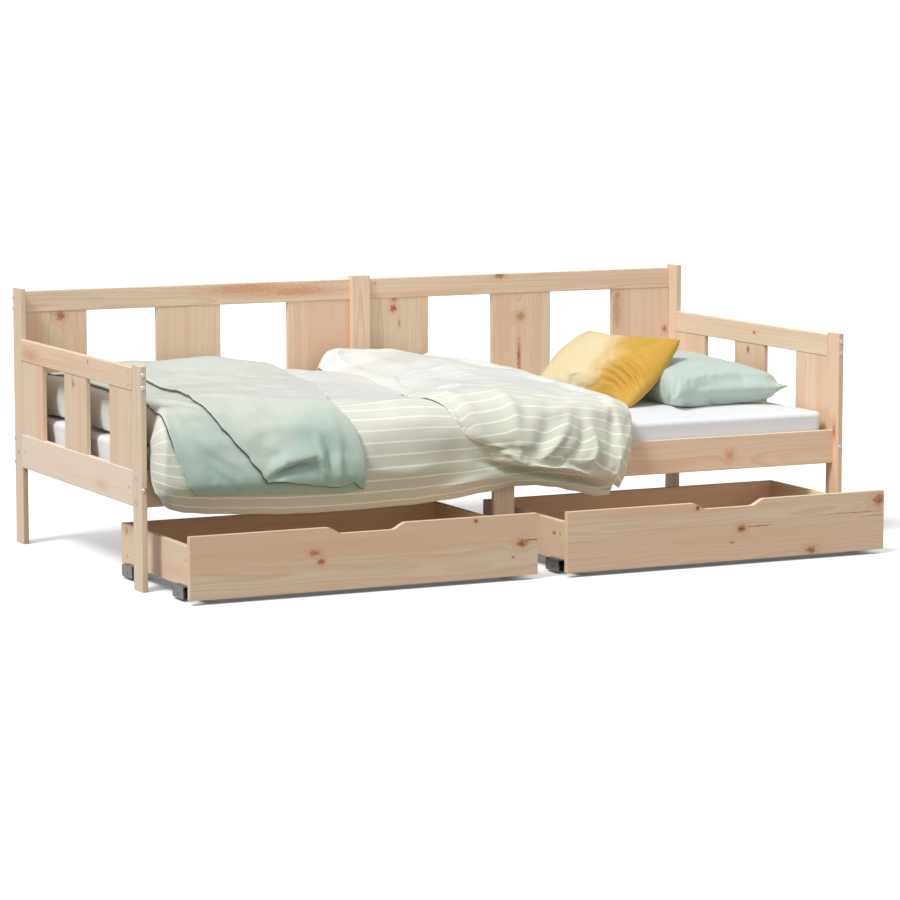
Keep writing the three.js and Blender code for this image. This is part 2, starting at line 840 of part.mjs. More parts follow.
function pillowGeometry(width, length, thickness, drawInShare) {
  const shares = Array.from({ length: pillowSteps + 1 }, (_, i) =>
    Math.sin(((2 * i) / pillowSteps - 1) * (Math.PI / 2)),
  );
  const positions = [];
  const index = [];
  const rows = pillowSteps + 1;
  for (const face of [-1, 1]) {
    for (const v of shares) {
      for (const u of shares) {
        const crown = Math.pow((1 - u * u) * (1 - v * v), pillowCrownPower);
        positions.push(
          (width / 2) * u * (1 - drawInShare * (1 - v * v)),
          (length / 2) * v * (1 - drawInShare * (1 - u * u)),
          (face * crown * thickness) / 2,
        );
      }
    }
  }
  const turned = rows * rows;
  for (let row = 0; row < pillowSteps; row++) {
    for (let column = 0; column < pillowSteps; column++) {
      const a = row * rows + column;
      const b = a + 1;
      const c = b + rows;
      const d = a + rows;
      index.push(a, c, b, a, d, c);
      index.push(a + turned, b + turned, c + turned, a + turned, c + turned, d + turned);
    }
  }
  return mergeVertices(meshFrom(positions, index).deleteAttribute("normal"));
}

function addPillow(name, geometry, material, place, turns) {
  const [sideLean, endLean, turn] = turns.map(THREE.MathUtils.degToRad);
  const lean = new THREE.Euler(endLean, sideLean, turn, "ZYX");
  geometry.applyMatrix4(new THREE.Matrix4().makeRotationFromEuler(lean));
  geometry.computeBoundingBox();
  const [x, y, seat] = place;
  geometry.translate(x, y, seat - geometry.boundingBox.min.z);
  geometry.computeVertexNormals();
  addPiece(name, geometry, material);
}

addEndPosts();
addMiddlePosts();
addBack();
addArm("left", -1);
addArm("right", 1);
addBed();
addDrawer("left", -(drawerWidth + drawerMiddleGap) / 2, leftDrawerOpening);
addDrawer("right", (drawerWidth + drawerMiddleGap) / 2, rightDrawerOpening);
addMattress();
addDuvet();
addThrow();
addPillow(
  "pillow",
  pillowGeometry(pillowWidth, pillowLength, pillowThickness, pillowDrawInShare),
  finishes.mintCotton(),
  [pillowX, backFaceY - pillowFromWall, mattressTop + restGap],
  [pillowSideLean, pillowEndLean, pillowTurn],
);
addPillow(
  "cushion",
  pillowGeometry(cushionSize, cushionSize, cushionThickness, cushionDrawInShare),
  finishes.velvet(),
  [pillowX - cushionFromPillow, backFaceY - cushionFromWall, mattressTop + restGap],
  [cushionLean, 0, cushionTurn],
);

export default daybed;
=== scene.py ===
"""Storage daybed: the finish of its pine boards, its metal fittings and its bedding.

Metres, +Z up, +X along the bed to the right, +Y towards the wall side. The floor is at Z 0.
"""

import functools
import json
import math
import random

import bmesh
import bpy
from mathutils import Euler, Matrix, Vector, noise
from mathutils.bvhtree import BVHTree


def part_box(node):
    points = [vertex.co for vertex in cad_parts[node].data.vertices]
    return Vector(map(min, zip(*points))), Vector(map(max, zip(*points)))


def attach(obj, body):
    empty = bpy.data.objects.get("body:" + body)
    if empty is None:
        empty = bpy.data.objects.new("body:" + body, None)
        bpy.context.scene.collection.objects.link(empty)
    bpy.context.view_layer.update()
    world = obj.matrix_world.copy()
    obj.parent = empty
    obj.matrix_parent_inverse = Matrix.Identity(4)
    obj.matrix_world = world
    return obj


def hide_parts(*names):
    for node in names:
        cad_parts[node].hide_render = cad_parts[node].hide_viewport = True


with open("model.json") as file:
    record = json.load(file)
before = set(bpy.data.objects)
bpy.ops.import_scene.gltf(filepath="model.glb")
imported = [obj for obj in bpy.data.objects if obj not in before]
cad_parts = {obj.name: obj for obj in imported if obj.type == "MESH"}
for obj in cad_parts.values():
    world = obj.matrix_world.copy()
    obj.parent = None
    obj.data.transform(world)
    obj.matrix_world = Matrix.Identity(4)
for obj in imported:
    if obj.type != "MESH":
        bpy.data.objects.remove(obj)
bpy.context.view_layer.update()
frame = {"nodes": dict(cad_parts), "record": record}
scene = bpy.context.scene

MM = 0.001
WHOLE_TURN = 2 * math.pi
SIDES = {"left": -1, "right": 1}


# Colours and finishes

def colour(red, green, blue):
    """A colour card value, 0 to 255 a channel, as a shader takes it."""
    def linear(value):
        share = value / 255
        return share / 12.92 if share <= 0.04045 else ((share + 0.055) / 1.055) ** 2.4

    return (linear(red), linear(green), linear(blue), 1.0)


WHITE = colour(255, 255, 255)


class Amount:
    """A number that nodes work out at each point, so that sums of them read as sums."""

    def __init__(self, nodes, socket):
        self.nodes = nodes
        self.socket = socket

    def __add__(self, other):
        return self.nodes.count("ADD", self, other)

    def __sub__(self, other):
        return self.nodes.count("SUBTRACT", self, other)

    def __rsub__(self, other):
        return self.nodes.count("SUBTRACT", other, self)

    def __mul__(self, other):
        return self.nodes.count("MULTIPLY", self, other)

    def __truediv__(self, other):
        return self.nodes.count("DIVIDE", self, other)

    def __rtruediv__(self, other):
        return self.nodes.count("DIVIDE", other, self)

    def root(self):
        return self.nodes.count("SQRT", self)

    def floor(self):
        return self.nodes.count("FLOOR", self)

    def fade(self, low, high):
        """0 up to low, 1 from high on, and smooth between them."""
        ramp = self.nodes.add("ShaderNodeMapRange", self, low, high, interpolation_type="SMOOTHSTEP")
        return Amount(self.nodes, ramp.outputs[0])


class Nodes:
    """A node tree, with short ways to add nodes to it."""

    def __init__(self, tree):
        self.tree = tree

    def feed(self, socket, source):
        if isinstance(source, Amount):
            source = source.socket
        if isinstance(source, bpy.types.NodeSocket):
            self.tree.links.new(source, socket)
        elif source is not None:
            socket.default_value = source

    def add(self, kind, *sources, **settings):
        node = self.tree.nodes.new(kind)
        for setting, value in settings.items():
            setattr(node, setting, value)
        for socket, source in zip(node.inputs, sources):
            self.feed(socket, source)
        return node

    def count(self, operation, *sources):
        return Amount(self, self.add("ShaderNodeMath", *sources, operation=operation).outputs[0])

    def chance(self, number):
        """Something random for each whole number."""
        node = self.add("ShaderNodeTexWhiteNoise", None, number, noise_dimensions="1D")
        return Amount(self, node.outputs["Value"])

    def blend(self, share, low, high):
        node = self.add("ShaderNodeMix", data_type="RGBA")
        self.feed(node.inputs[0], share)
        self.feed(node.inputs[6], low)
        self.feed(node.inputs[7], high)
        return node.outputs[2]

    def vector(self, *parts):
        return self.add("ShaderNodeCombineXYZ", *parts).outputs[0]

    def parts(self, vector):
        return [Amount(self, socket) for socket in self.add("ShaderNodeSeparateXYZ", vector).outputs]

    def cloud(self, vector, scale, detail=2.0, roughness=0.5, offset=(0, 0, 0)):
        """Noise at one scale, or at a scale for each axis."""
        if isinstance(scale, tuple):
            vector = self.add("ShaderNodeMapping", vector, offset, None, scale).outputs[0]
            scale = 1.0
        node = self.add("ShaderNodeTexNoise")
        self.feed(node.inputs["Vector"], vector)
        self.feed(node.inputs["Scale"], scale)
        self.feed(node.inputs["Detail"], detail)
        self.feed(node.inputs["Roughness"], roughness)
        return Amount(self, node.outputs["Fac"])

    def swap(self, output, falling, seen):
        """One shader for light that falls on the object, and one for camera, mirror and glass rays."""
        rays = self.add("ShaderNodeLightPath").outputs
        direct = self.count("MAXIMUM", rays["Is Camera Ray"], rays["Is Glossy Ray"])
        direct = self.count("MAXIMUM", direct, rays["Is Transmission Ray"])
        mixed = self.add("ShaderNodeMixShader", direct, falling.outputs[0], seen.outputs[0])
        self.feed(self.tree.nodes[output].inputs[0], mixed.outputs[0])


class Finish(Nodes):
    """A material."""

    def __init__(self, name, **sockets):
        self.material = bpy.data.materials.new(name)
        self.material.use_nodes = True
        super().__init__(self.material.node_tree)
        self.shader = self.tree.nodes["Principled BSDF"]
        for socket, value in sockets.items():
            self.shader.inputs[socket.replace("_", " ").title()].default_value = value

    def place(self):
        return self.add("ShaderNodeTexCoord").outputs["Object"]

    def cloth_place(self):
        return self.add("ShaderNodeUVMap", uv_map="cloth").outputs[0]

    def paint(self, source):
        self.feed(self.shader.inputs["Base Color"], source)

    def emboss(self, height, strength, distance):
        bump = self.add("ShaderNodeBump")
        self.feed(bump.inputs["Height"], height)
        self.feed(bump.inputs["Strength"], strength)
        self.feed(bump.inputs["Distance"], distance)
        self.feed(self.shader.inputs["Normal"], bump.outputs[0])


# Pine: growth rings round a pith behind each stave, with knots that push the rings aside

PINE_EARLY = [colour(232, 211, 185), colour(236, 210, 183), colour(229, 208, 180)]
PINE_LATE = [colour(205, 166, 128), colour(209, 170, 131), colour(201, 165, 130)]
PINE_WARM = colour(226, 181, 143)
PINE_COOL = colour(217, 199, 172)
PINE_PALE = colour(244, 236, 222)
PALER = {"arm_left_low_rail": 0.36, "post_front_left": 0.06, "back_slat_6": 0.1}
RING_SPACING = 4.4 * MM
RING_WAVE = 42 * MM
PITH_DEPTH = 46 * MM
PITH_WANDER = 2.4
STAVE_WIDTH = 66 * MM
STAVED_FROM = 150 * MM
STAVE_SLIDE = 9.0
# Scales of the grain's clouds: along a board, across it and through it
RIPPLE = (120, 170, 170)
WAVE = (1.3, 9, 9)
STREAK = (1.1, 26, 26)
FIBRE = (9, 420, 420)
KNOT_RAGGED = 2.4
KNOT_PUSH = 2.2

# From a knot's outside in: its colour, edge and softness in radii, and how strong it is, pale or dark
KNOT_RINGS = [
    (colour(216, 158, 118), 1.7, 1.3, 0.6, 0.6),
    (colour(178, 108, 68), 0.95, 0.3, 0.25, 1.0),
    (colour(126, 72, 42), 0.45, 0.35, 0.0, 1.0),
]

# Knots that show: along the grain, across it, radius, how dark, how long for their width
KNOTS = {
    "drawer_left_front": [
        (-0.662, 0.110, 0.007, 0.5, 1.8), (-0.644, 0.087, 0.007, 0.8, 1.2),
        (-0.215, 0.162, 0.006, 0.8, 1.0), (-0.083, 0.097, 0.010, 0.9, 1.4),
        (-0.108, 0.062, 0.002, 0.8, 2.0), (-0.055, 0.104, 0.0014, 0.9, 20),
    ],
    "drawer_right_front": [
        (0.421, 0.158, 0.006, 0.9, 1.0), (0.555, 0.096, 0.009, 1.0, 1.3),
        (0.768, 0.025, 0.010, 0.6, 1.6), (0.980, 0.148, 0.014, 0.7, 1.2),
        (0.525, 0.061, 0.002, 0.6, 3.0), (0.61, 0.100, 0.0013, 0.9, 26),
        (0.90, 0.117, 0.0009, 0.8, 100), (0.965, 0.105, 0.0008, 0.7, 50),
    ],
    "back_slat_1": [(0.617, -0.896, 0.013, 0.6, 1.0)],
    "back_slat_4": [
        (0.601, 0.110, 0.010, 0.8, 1.0), (0.626, 0.112, 0.009, 0.25, 0.8),
        (0.559, 0.127, 0.003, 0.4, 3.5),
    ],
    "back_slat_5": [(0.562, 0.517, 0.014, 0.3, 0.8), (0.447, 0.513, 0.005, 0.5, 9.0)],
    "back_slat_6": [
        (0.613, 0.839, 0.006, 0.9, 1.0), (0.57, 0.836, 0.012, 0.1, 4.0),
        (0.506, 0.998, 0.006, 0.6, 1.5),
    ],
    "back_top_rail_right": [(0.449, 0.683, 0.007, 0.6, 2.2), (0.050, 0.675, 0.004, 0.3, 1.0)],
    "back_top_rail_left": [(-0.35, 0.672, 0.012, 0.0, 7.0), (-0.18, 0.66, 0.010, 0.0, 8.0)],
    "arm_left_top_rail": [(-0.566, 0.548, 0.004, 0.7, 1.0), (-0.12, 0.525, 0.012, 0.0, 4.0)],
    "arm_left_slat_1": [(0.41, -0.07, 0.007, 0.3, 3.0)],
    "arm_left_slat_2": [(0.481, -0.450, 0.007, 0.5, 1.6)],
    "arm_left_slat_3": [(0.455, -0.78, 0.005, 0.2, 1.0)],
    "arm_left_low_rail": [(-0.03, 0.27, 0.007, 0.1, 1.0), (-0.66, 0.24, 0.009, 0.0, 3.0)],
    "arm_right_slat_2": [(0.486, -0.457, 0.007, 0.7, 1.4)],
    "front_rail": [(0.684, 0.250, 0.011, 0.05, 1.0)],
    "post_front_left": [(0.224, -0.909, 0.005, 0.5, 1.6)],
    "post_front_right": [(0.300, -0.925, 0.008, 0.5, 2.4)],
    "drawer_left_side_left": [(-0.684, 0.118, 0.007, 0.3, 1.0)],
}


def board_axes(node):
    """The board's axes, longest first: along the grain, across it and through the board."""
    low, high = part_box(node)
    sizes = high - low
    if node == "slatted_base":
        return [1, 0, 2]
    return sorted(range(3), key=lambda axis: -sizes[axis])


def knots_of(node, order, draw):
    if node in KNOTS:
        return KNOTS[node]
    low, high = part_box(node)
    along, across, _ = order
    margin = 0.2 * (high[across] - low[across])
    knots = []
    for _ in range(draw.choice((0, 0, 1))):
        knots.append((
            draw.uniform(low[along], high[along]),
            draw.uniform(low[across] + margin, high[across] - margin),
            draw.uniform(3, 6) * MM,
            draw.uniform(0.2, 0.8),
            draw.uniform(1, 2),
        ))
    return knots


def knot_marks(along, across, knot, ripple):
    """The layers of colour that a knot adds, and how far it pushes the rings aside."""
    knot_along, knot_across, radius, dark, length = knot
    offset = (along - knot_along) / length
    aside = across - knot_across
    distance = (offset * offset + aside * aside).root() / radius
    ragged = (ripple - 0.5) * KNOT_RAGGED + distance
    marks = []
    for card, edge, soft, pale_strength, dark_strength in KNOT_RINGS:
        strength = pale_strength + (dark_strength - pale_strength) * dark
        marks.append(((1 - ragged.fade(edge - soft, edge + soft)) * strength, card))
    return marks, KNOT_PUSH * radius / (distance * distance + 1)


def pine(node, number):
    """A board's own finish. A wide board is glued up from staves."""
    draw = random.Random(number)
    order = board_axes(node)
    low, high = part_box(node)
    _, across_axis, through_axis = order
    finish = Finish("pine_" + node, roughness=0.52)
    parts = finish.parts(finish.place())
    along, across, through = (parts[axis] for axis in order)
    shift = tuple(draw.uniform(0, 50) for _ in range(3))
    grid = finish.vector(along, across, through)
    width = high[across_axis] - low[across_axis]
    staved = width > STAVED_FROM

    if staved:
        staves = round(width / STAVE_WIDTH)
        stave = width / staves
        share = (across - low[across_axis]) / stave
        index = finish.count("MINIMUM", share, staves - 0.5).floor()
        tone = finish.chance(index + shift[0])
        aside = (share - index - 0.5) * stave + (tone - 0.5) * (PITH_WANDER * stave)
        grid = finish.vector(along + tone * STAVE_SLIDE, across, through)
    else:
        centre = (low[across_axis] + high[across_axis]) / 2
        aside = across - (centre + draw.uniform(-1, 1) * width)
        tone = draw.random()

    ripple = finish.cloud(grid, RIPPLE, 3.0, 0.6, shift)
    wave = finish.cloud(grid, WAVE, offset=shift)
    deep = through - low[through_axis] + PITH_DEPTH
    radius = (aside * aside + deep * deep).root() + wave * RING_WAVE
    knots = []
    for knot in knots_of(node, order, draw):
        marks, push = knot_marks(along, across, knot, ripple)
        radius = radius + push
        knots += marks

    rings = radius / RING_SPACING
    ring = rings.floor()
    turn = rings - ring
    lines = turn.fade(0.25, 0.9) * (1 - turn.fade(0.9, 1.0)) * (finish.chance(ring) * 0.42 + 0.06)
    streak = finish.cloud(grid, STREAK, 3.0, 0.6, shift[::-1])
    fibre = finish.cloud(grid, FIBRE, offset=shift)
    late = PINE_LATE[number % 3]
    layers = [
        (lines, late),
        (streak.fade(0.46, 0.7) * 0.55, PINE_WARM),
        ((1 - streak.fade(0.28, 0.5)) * 0.5, PINE_COOL),
    ]
    if staved:
        layers.append((tone.fade(0.4, 0.9) * 0.4, PINE_WARM))
    layers += [(fibre * 0.14, late), *knots, (PALER.get(node, 0.0), PINE_PALE)]
    wood = finish.blend(tone, PINE_EARLY[number % 3], PINE_EARLY[(number + 1) % 3])
    for share, card in layers:
        wood = finish.blend(share, wood, card)
    finish.paint(wood)
    finish.emboss(fibre * 0.5 + lines, 0.12, 0.4 * MM)
    return finish.material


def streaked(name, dark, light, scale, relief, depth, **sockets):
    """A finish in two close tones, whose fine streaks or specks are its relief too."""
    finish = Finish(name, **sockets)
    streaks = finish.cloud(finish.place(), scale)
    finish.paint(finish.blend(streaks, dark, light))
    finish.emboss(streaks, relief, depth)
    return finish.material


def steel(name, dark, light):
    return streaked(
        name, dark, light, scale=(900, 60, 900), relief=0.05, depth=0.1 * MM,
        metallic=1.0, roughness=0.3,
    )


def turned_wood():
    return streaked(
        "pine_plugs", colour(206, 168, 132), colour(222, 188, 154),
        scale=(200, 200, 900), relief=0.1, depth=0.2 * MM, roughness=0.55,
    )


def moulded_grey():
    return streaked(
        "wheel_grey", colour(196, 197, 196), colour(150, 151, 150),
        scale=700.0, relief=0.08, depth=0.1 * MM, roughness=0.42,
    )


def weave(finish, place, threads):
    """Two crossed sets of uneven yarns, as a height."""
    warp = finish.cloud(place, (threads, threads * 0.06, 1), detail=1.0)
    weft = finish.cloud(place, (threads * 0.06, threads, 1), detail=1.0)
    return warp + weft


STRIPE_PITCH = 32 * MM
STRIPE_WIDTH = 5 * MM
STRIPE_EDGE = 0.8 * MM
# Runs along the path, in metres, between which one tone of the duvet fades into the next: its painted sheen
# on top into its own tone, that into painted shade towards the hem, and stripes washed out by painted sheen
# into clear ones
PAINTED_SHEEN_FADE = 0.8, 1.02
PAINTED_SHADE_FADE = 1.02, 1.18
STRIPES_CLEARER = 0.2, 0.85


def striped_cotton():
    """Pale on top with painted sheen, its own tone where it hangs, and darkest at its hem with painted
    shade. The stripes are painted fainter on top, washed out by the sheen.
    """
    finish = Finish("striped_cotton", roughness=0.9, sheen_weight=0.9, sheen_roughness=0.4)
    place = finish.cloth_place()
    run = finish.parts(place)[1]
    slub = finish.cloud(place, (14, 240, 1), 3.0, 0.65)
    # Painted sheen: the paler tone that the cloth shows on top
    painted_sheen_tone = finish.blend(slub, colour(216, 217, 212), colour(225, 226, 221))
    own_tone = finish.blend(slub, colour(214, 215, 199), colour(226, 227, 214))
    ground = finish.blend(run.fade(*PAINTED_SHEEN_FADE), painted_sheen_tone, own_tone)
    # Painted shade: a darker tone towards the hem
    ground = finish.blend(run.fade(*PAINTED_SHADE_FADE), ground, colour(207, 211, 193))
    turn = finish.count("FRACT", run / STRIPE_PITCH)
    from_line = finish.count("ABSOLUTE", turn - 0.5) * STRIPE_PITCH
    half = STRIPE_WIDTH / 2
    line = 1 - from_line.fade(half - STRIPE_EDGE, half + STRIPE_EDGE)
    # The stripes are painted fainter on top, washed out by painted sheen
    shown = run.fade(*STRIPES_CLEARER) * 0.6 + 0.4
    finish.paint(finish.blend(line * shown, ground, colour(244, 241, 228)))
    crumple = finish.cloud(place, (16, 30, 1), 5.0, 0.55)
    finish.emboss(weave(finish, place, 520) * 0.06 + crumple, 0.35, 3 * MM)
    return finish.material


# Runs along the path between which the throw's painted sheen on top fades into its own green
THROW_PAINTED_SHEEN = 0.88, 1.1


def quilted_cotton():
    """Pale on top with painted sheen, and its own green where it hangs, with a patchy border between them.
    """
    finish = Finish("quilted_cotton", roughness=0.92, sheen_weight=1.0, sheen_roughness=0.4)
    place = finish.cloth_place()
    mottle = finish.cloud(place, 9.0, 4.0, 0.6)
    # Painted sheen: the paler tone that the throw shows on top
    painted_sheen_tone = finish.blend(mottle, colour(196, 203, 192), colour(213, 216, 207))
    own_tone = finish.blend(mottle, colour(152, 184, 170), colour(175, 200, 188))
    patches = finish.cloud(place, (5, 7, 1), 4.0, 0.6)
    reach = (patches - 0.5) * 0.3 + finish.parts(place)[1]
    finish.paint(finish.blend(reach.fade(*THROW_PAINTED_SHEEN), painted_sheen_tone, own_tone))
    crinkle = finish.cloud(place, (34, 22, 1), 5.0, 0.6)
    finish.emboss(weave(finish, place, 560) * 0.05 + crinkle, 0.4, 3 * MM)
    return finish.material


def plain_cotton(name, dark, light, crumple):
    finish = Finish(name, roughness=0.88, sheen_weight=0.35, sheen_roughness=0.45)
    place = finish.place()
    finish.paint(finish.blend(finish.cloud(place, 8.0, 4.0), dark, light))
    yarns = finish.cloud(place, 900.0, 1.0)
    wrinkles = finish.cloud(place, 26.0, 5.0, 0.55)
    finish.emboss(yarns * 0.05 + wrinkles, crumple, 2 * MM)
    return finish.material


# Places across the cushion, from its middle, past which painted sheen pales it towards the top and painted
# shade deepens it towards the foot, and the shares between which painted sheen turns into painted shade
PAINTED_SHEEN_TOP = 115 * MM, 155 * MM
PAINTED_SHADE_FOOT = -90 * MM, -155 * MM
PAINTED_SHEEN_TURN = 0.11, 0.22


def velvet():
    """Velvet with painted sheen and shade: pale cream towards one side and its top, deep yellow towards the
    other side and its foot.
    """
    finish = Finish(
        "yellow_velvet", roughness=0.8, sheen_weight=0.4, sheen_roughness=0.35,
        sheen_tint=colour(255, 240, 190),
    )
    place = finish.cloth_place()
    across, along, _ = finish.parts(place)
    nap = finish.cloud(place, (9, 12, 1), 3.0, 0.55)
    top = across.fade(*PAINTED_SHEEN_TOP) * 0.1
    foot = across.fade(*PAINTED_SHADE_FOOT) * 0.09
    # Painted sheen and shade: a high share paints the pile pale cream, a low one deep yellow
    painted_sheen_share = (nap - 0.5) * 0.16 + along - across * 0.14 + top - foot
    deep = finish.blend(nap, colour(180, 134, 44), colour(214, 171, 72))
    light = finish.blend(nap, colour(210, 192, 141), colour(223, 210, 174))
    finish.paint(finish.blend(painted_sheen_share.fade(*PAINTED_SHEEN_TURN), deep, light))
    pile = finish.cloud(finish.place(), 1100.0, 2.0)
    finish.emboss(pile * 0.1 + nap, 0.15, 2 * MM)
    return finish.material


# Pieces

CRISP = math.radians(35)
WHEEL_CRISP = math.radians(32)
SEWN_WITHIN = 0.05 * MM
WELDED_WITHIN = 0.01 * MM


def placed(name, bm, material):
    """An object from a bmesh, with its place in its mesh."""
    mesh = bpy.data.meshes.new(name)
    bm.normal_update()
    for face in bm.faces:
        face.smooth = True
    bm.to_mesh(mesh)
    bm.free()
    mesh.materials.append(material)
    piece = bpy.data.objects.new(name, mesh)
    scene.collection.objects.link(piece)
    return piece


def show(name, bm, material, body, replaces=()):
    """A finished piece, on its body and in its material slot."""
    piece = placed(name, bm, material)
    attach(piece, body)
    if replaces:
        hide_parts(*replaces)
    return piece


def sharpen(bm, angle):
    """Keeps the edges crisp where the surface turns by more than the angle."""
    for edge in bm.edges:
        edge.smooth = len(edge.link_faces) == 2 and edge.calc_face_angle(0) < angle


def set_in(bm, profile, steps, spot, direction):
    """Turns an outline of radius and height into a fitting at a spot, with its axis along the direction."""
    earlier = set(bm.verts)
    points = [bm.verts.new((radius, 0, height)) for radius, height in profile]
    edges = [bm.edges.new(pair) for pair in zip(points, points[1:])]
    bmesh.ops.spin(
        bm, geom=points + edges, cent=(0, 0, 0), axis=(0, 0, 1), dvec=(0, 0, 0),
        angle=WHOLE_TURN, steps=steps, use_merge=True,
    )
    verts = [vert for vert in bm.verts if vert not in earlier]
    bmesh.ops.remove_doubles(bm, verts=verts, dist=WELDED_WITHIN)
    verts = [vert for vert in verts if vert.is_valid]
    turn = Vector((0, 0, 1)).rotation_difference(Vector(direction)).to_matrix().to_4x4()
    bmesh.ops.transform(bm, matrix=Matrix.Translation(spot) @ turn, verts=verts)


def middle(node):
    low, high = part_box(node)
    return (low + high) / 2


def side_of(node, sign):
    """Where a node ends to the left or to the right."""
    low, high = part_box(node)
    return low.x if sign < 0 else high.x


# Fittings of the frame

BOLT_RADIUS = 6.5 * MM
BOLT_HEIGHT = 2.6 * MM
BOLT_STEPS = 20
SOCKET_RADIUS = 2.6 * MM
SOCKET_DEPTH = 1.6 * MM
SEAT_DEPTH = 0.6 * MM
BOLT = [
    (0, BOLT_HEIGHT - SOCKET_DEPTH),
    (SOCKET_RADIUS, BOLT_HEIGHT - SOCKET_DEPTH),
    (SOCKET_RADIUS, BOLT_HEIGHT),
    (0.55 * BOLT_RADIUS, 0.98 * BOLT_HEIGHT),
    (0.82 * BOLT_RADIUS, 0.75 * BOLT_HEIGHT),
    (BOLT_RADIUS, 0.2 * BOLT_HEIGHT),
    (BOLT_RADIUS, -SEAT_DEPTH),
    (0, -SEAT_DEPTH),
]
PLUG_RADIUS = 5 * MM
PLUG_HEIGHT = 0.5 * MM
PLUG_DEPTH = 2 * MM
PLUG_STEPS = 18
PLUG = [
    (0, PLUG_HEIGHT),
    (0.8 * PLUG_RADIUS, PLUG_HEIGHT),
    (PLUG_RADIUS, 0.4 * PLUG_HEIGHT),
    (PLUG_RADIUS, -PLUG_DEPTH),
    (0, -PLUG_DEPTH),
]
BACK_RAIL_BOLTS = [671 * MM, 640 * MM, 286 * MM, 222 * MM]
FRONT_RAIL_BOLTS = [287 * MM, 225 * MM]
ARM_RAIL_BOLTS = [547 * MM, 515 * MM, 258 * MM]
PLUG_FROM_POST = 26 * MM


def add_frame_fittings(metal, wood):
    bolts, plugs = bmesh.new(), bmesh.new()
    for side, sign in SIDES.items():
        front_post, back_post = "post_front_" + side, "post_back_" + side
        arm_rail = f"arm_{side}_top_rail"
        outer, face = side_of(back_post, sign), side_of(arm_rail, sign)
        for rail, heights in (("back_low_rail", BACK_RAIL_BOLTS), ("front_rail", FRONT_RAIL_BOLTS)):
            for height in heights:
                set_in(bolts, BOLT, BOLT_STEPS, (outer, middle(rail).y, height), (sign, 0, 0))
        post_x = middle(front_post).x
        front_y, back_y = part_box(front_post)[0].y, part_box(back_post)[1].y
        rail_low, rail_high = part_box(arm_rail)
        for height in ARM_RAIL_BOLTS:
            set_in(bolts, BOLT, BOLT_STEPS, (post_x, front_y, height), (0, -1, 0))
            set_in(bolts, BOLT, BOLT_STEPS, (post_x, back_y, height), (0, 1, 0))
            for plug_y in (rail_low.y + PLUG_FROM_POST, rail_high.y - PLUG_FROM_POST):
                set_in(plugs, PLUG, PLUG_STEPS, (face, plug_y, height), (sign, 0, 0))
    sharpen(bolts, CRISP)
    sharpen(plugs, CRISP)
    show("frame_bolts", bolts, metal, "bed")
    show("arm_plugs", plugs, wood, "bed")


# Casters and drawer screws

CORNERS = ["front_left", "front_right", "back_left", "back_right"]
WHEEL_STEPS = 40
RIVET_RADIUS = 4.5 * MM
RIVET_HEIGHT = 1.6 * MM
RIVET_STEPS = 18
RIVET = [
    (0, RIVET_HEIGHT),
    (0.6 * RIVET_RADIUS, 0.85 * RIVET_HEIGHT),
    (RIVET_RADIUS, 0),
    (RIVET_RADIUS, -SEAT_DEPTH),
    (0, -SEAT_DEPTH),
]
SCREW_RADIUS = 3.6 * MM
SCREW_RIM = 0.7 * MM
SCREW_DEPTH = 2.6 * MM
SCREW_STEPS = 16
SCREW = [
    (0, -0.5 * SCREW_RADIUS),
    (0.35 * SCREW_RADIUS, -0.1 * SCREW_RADIUS),
    (SCREW_RADIUS, 0.1 * SCREW_RADIUS),
    (SCREW_RADIUS, -SCREW_RIM),
    (0, -SCREW_DEPTH),
]
# From the front end of a drawer's side board, and above the floor
SCREW_SPOTS = [(73 * MM, 101 * MM), (482 * MM, 53 * MM)]


def wheel_profile(radius, half):
    """A rounded tread, a groove beside it and a dished hub, from the axle's bore outwards."""
    bore, hub = 0.21 * radius, 0.5 * radius
    one_side = [
        (bore, 0.78 * half),
        (hub, 0.78 * half),
        (1.06 * hub, 0.62 * half),
        (0.78 * radius, 0.62 * half),
        (0.82 * radius, half),
        (0.93 * radius, half),
        (0.985 * radius, 0.72 * half),
        (radius, 0.35 * half),
    ]
    other_side = [(across, -height) for across, height in reversed(one_side)]
    return one_side + other_side + one_side[:1]


def add_wheels(plastic):
    for drawer in SIDES:
        for corner in CORNERS:
            wheel = f"{drawer}_wheel_{corner}"
            node = "drawer_" + wheel
            low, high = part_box(node)
            bm = bmesh.new()
            profile = wheel_profile((high.z - low.z) / 2, (high.x - low.x) / 2)
            set_in(bm, profile, WHEEL_STEPS, middle(node), (1, 0, 0))
            bmesh.ops.recalc_face_normals(bm, faces=bm.faces)
            sharpen(bm, WHEEL_CRISP)
            show("caster_" + wheel, bm, plastic, wheel, [node])


def add_drawer_fittings(metal):
    """Rivets on the caster brackets, and screws in the side boards."""
    for drawer in SIDES:
        bm = bmesh.new()
        for corner in CORNERS:
            _, y, z = middle(f"drawer_{drawer}_wheel_{corner}")
            sign = SIDES[corner.split("_")[1]]
            face = side_of(f"drawer_{drawer}_bracket_{corner}", sign)
            set_in(bm, RIVET, RIVET_STEPS, (face, y, z), (sign, 0, 0))
        for side, sign in SIDES.items():
            board = f"drawer_{drawer}_side_{side}"
            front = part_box(board)[0].y
            for from_front, height in SCREW_SPOTS:
                spot = (side_of(board, sign), front + from_front, height)
                set_in(bm, SCREW, SCREW_STEPS, spot, (sign, 0, 0))
        sharpen(bm, CRISP)
        show(f"drawer_{drawer}_fittings", bm, metal, f"drawer_{drawer}")


# Soft shapes

def smooth(share):
    held = min(max(share, 0.0), 1.0)
    return held * held * (3 - 2 * held)


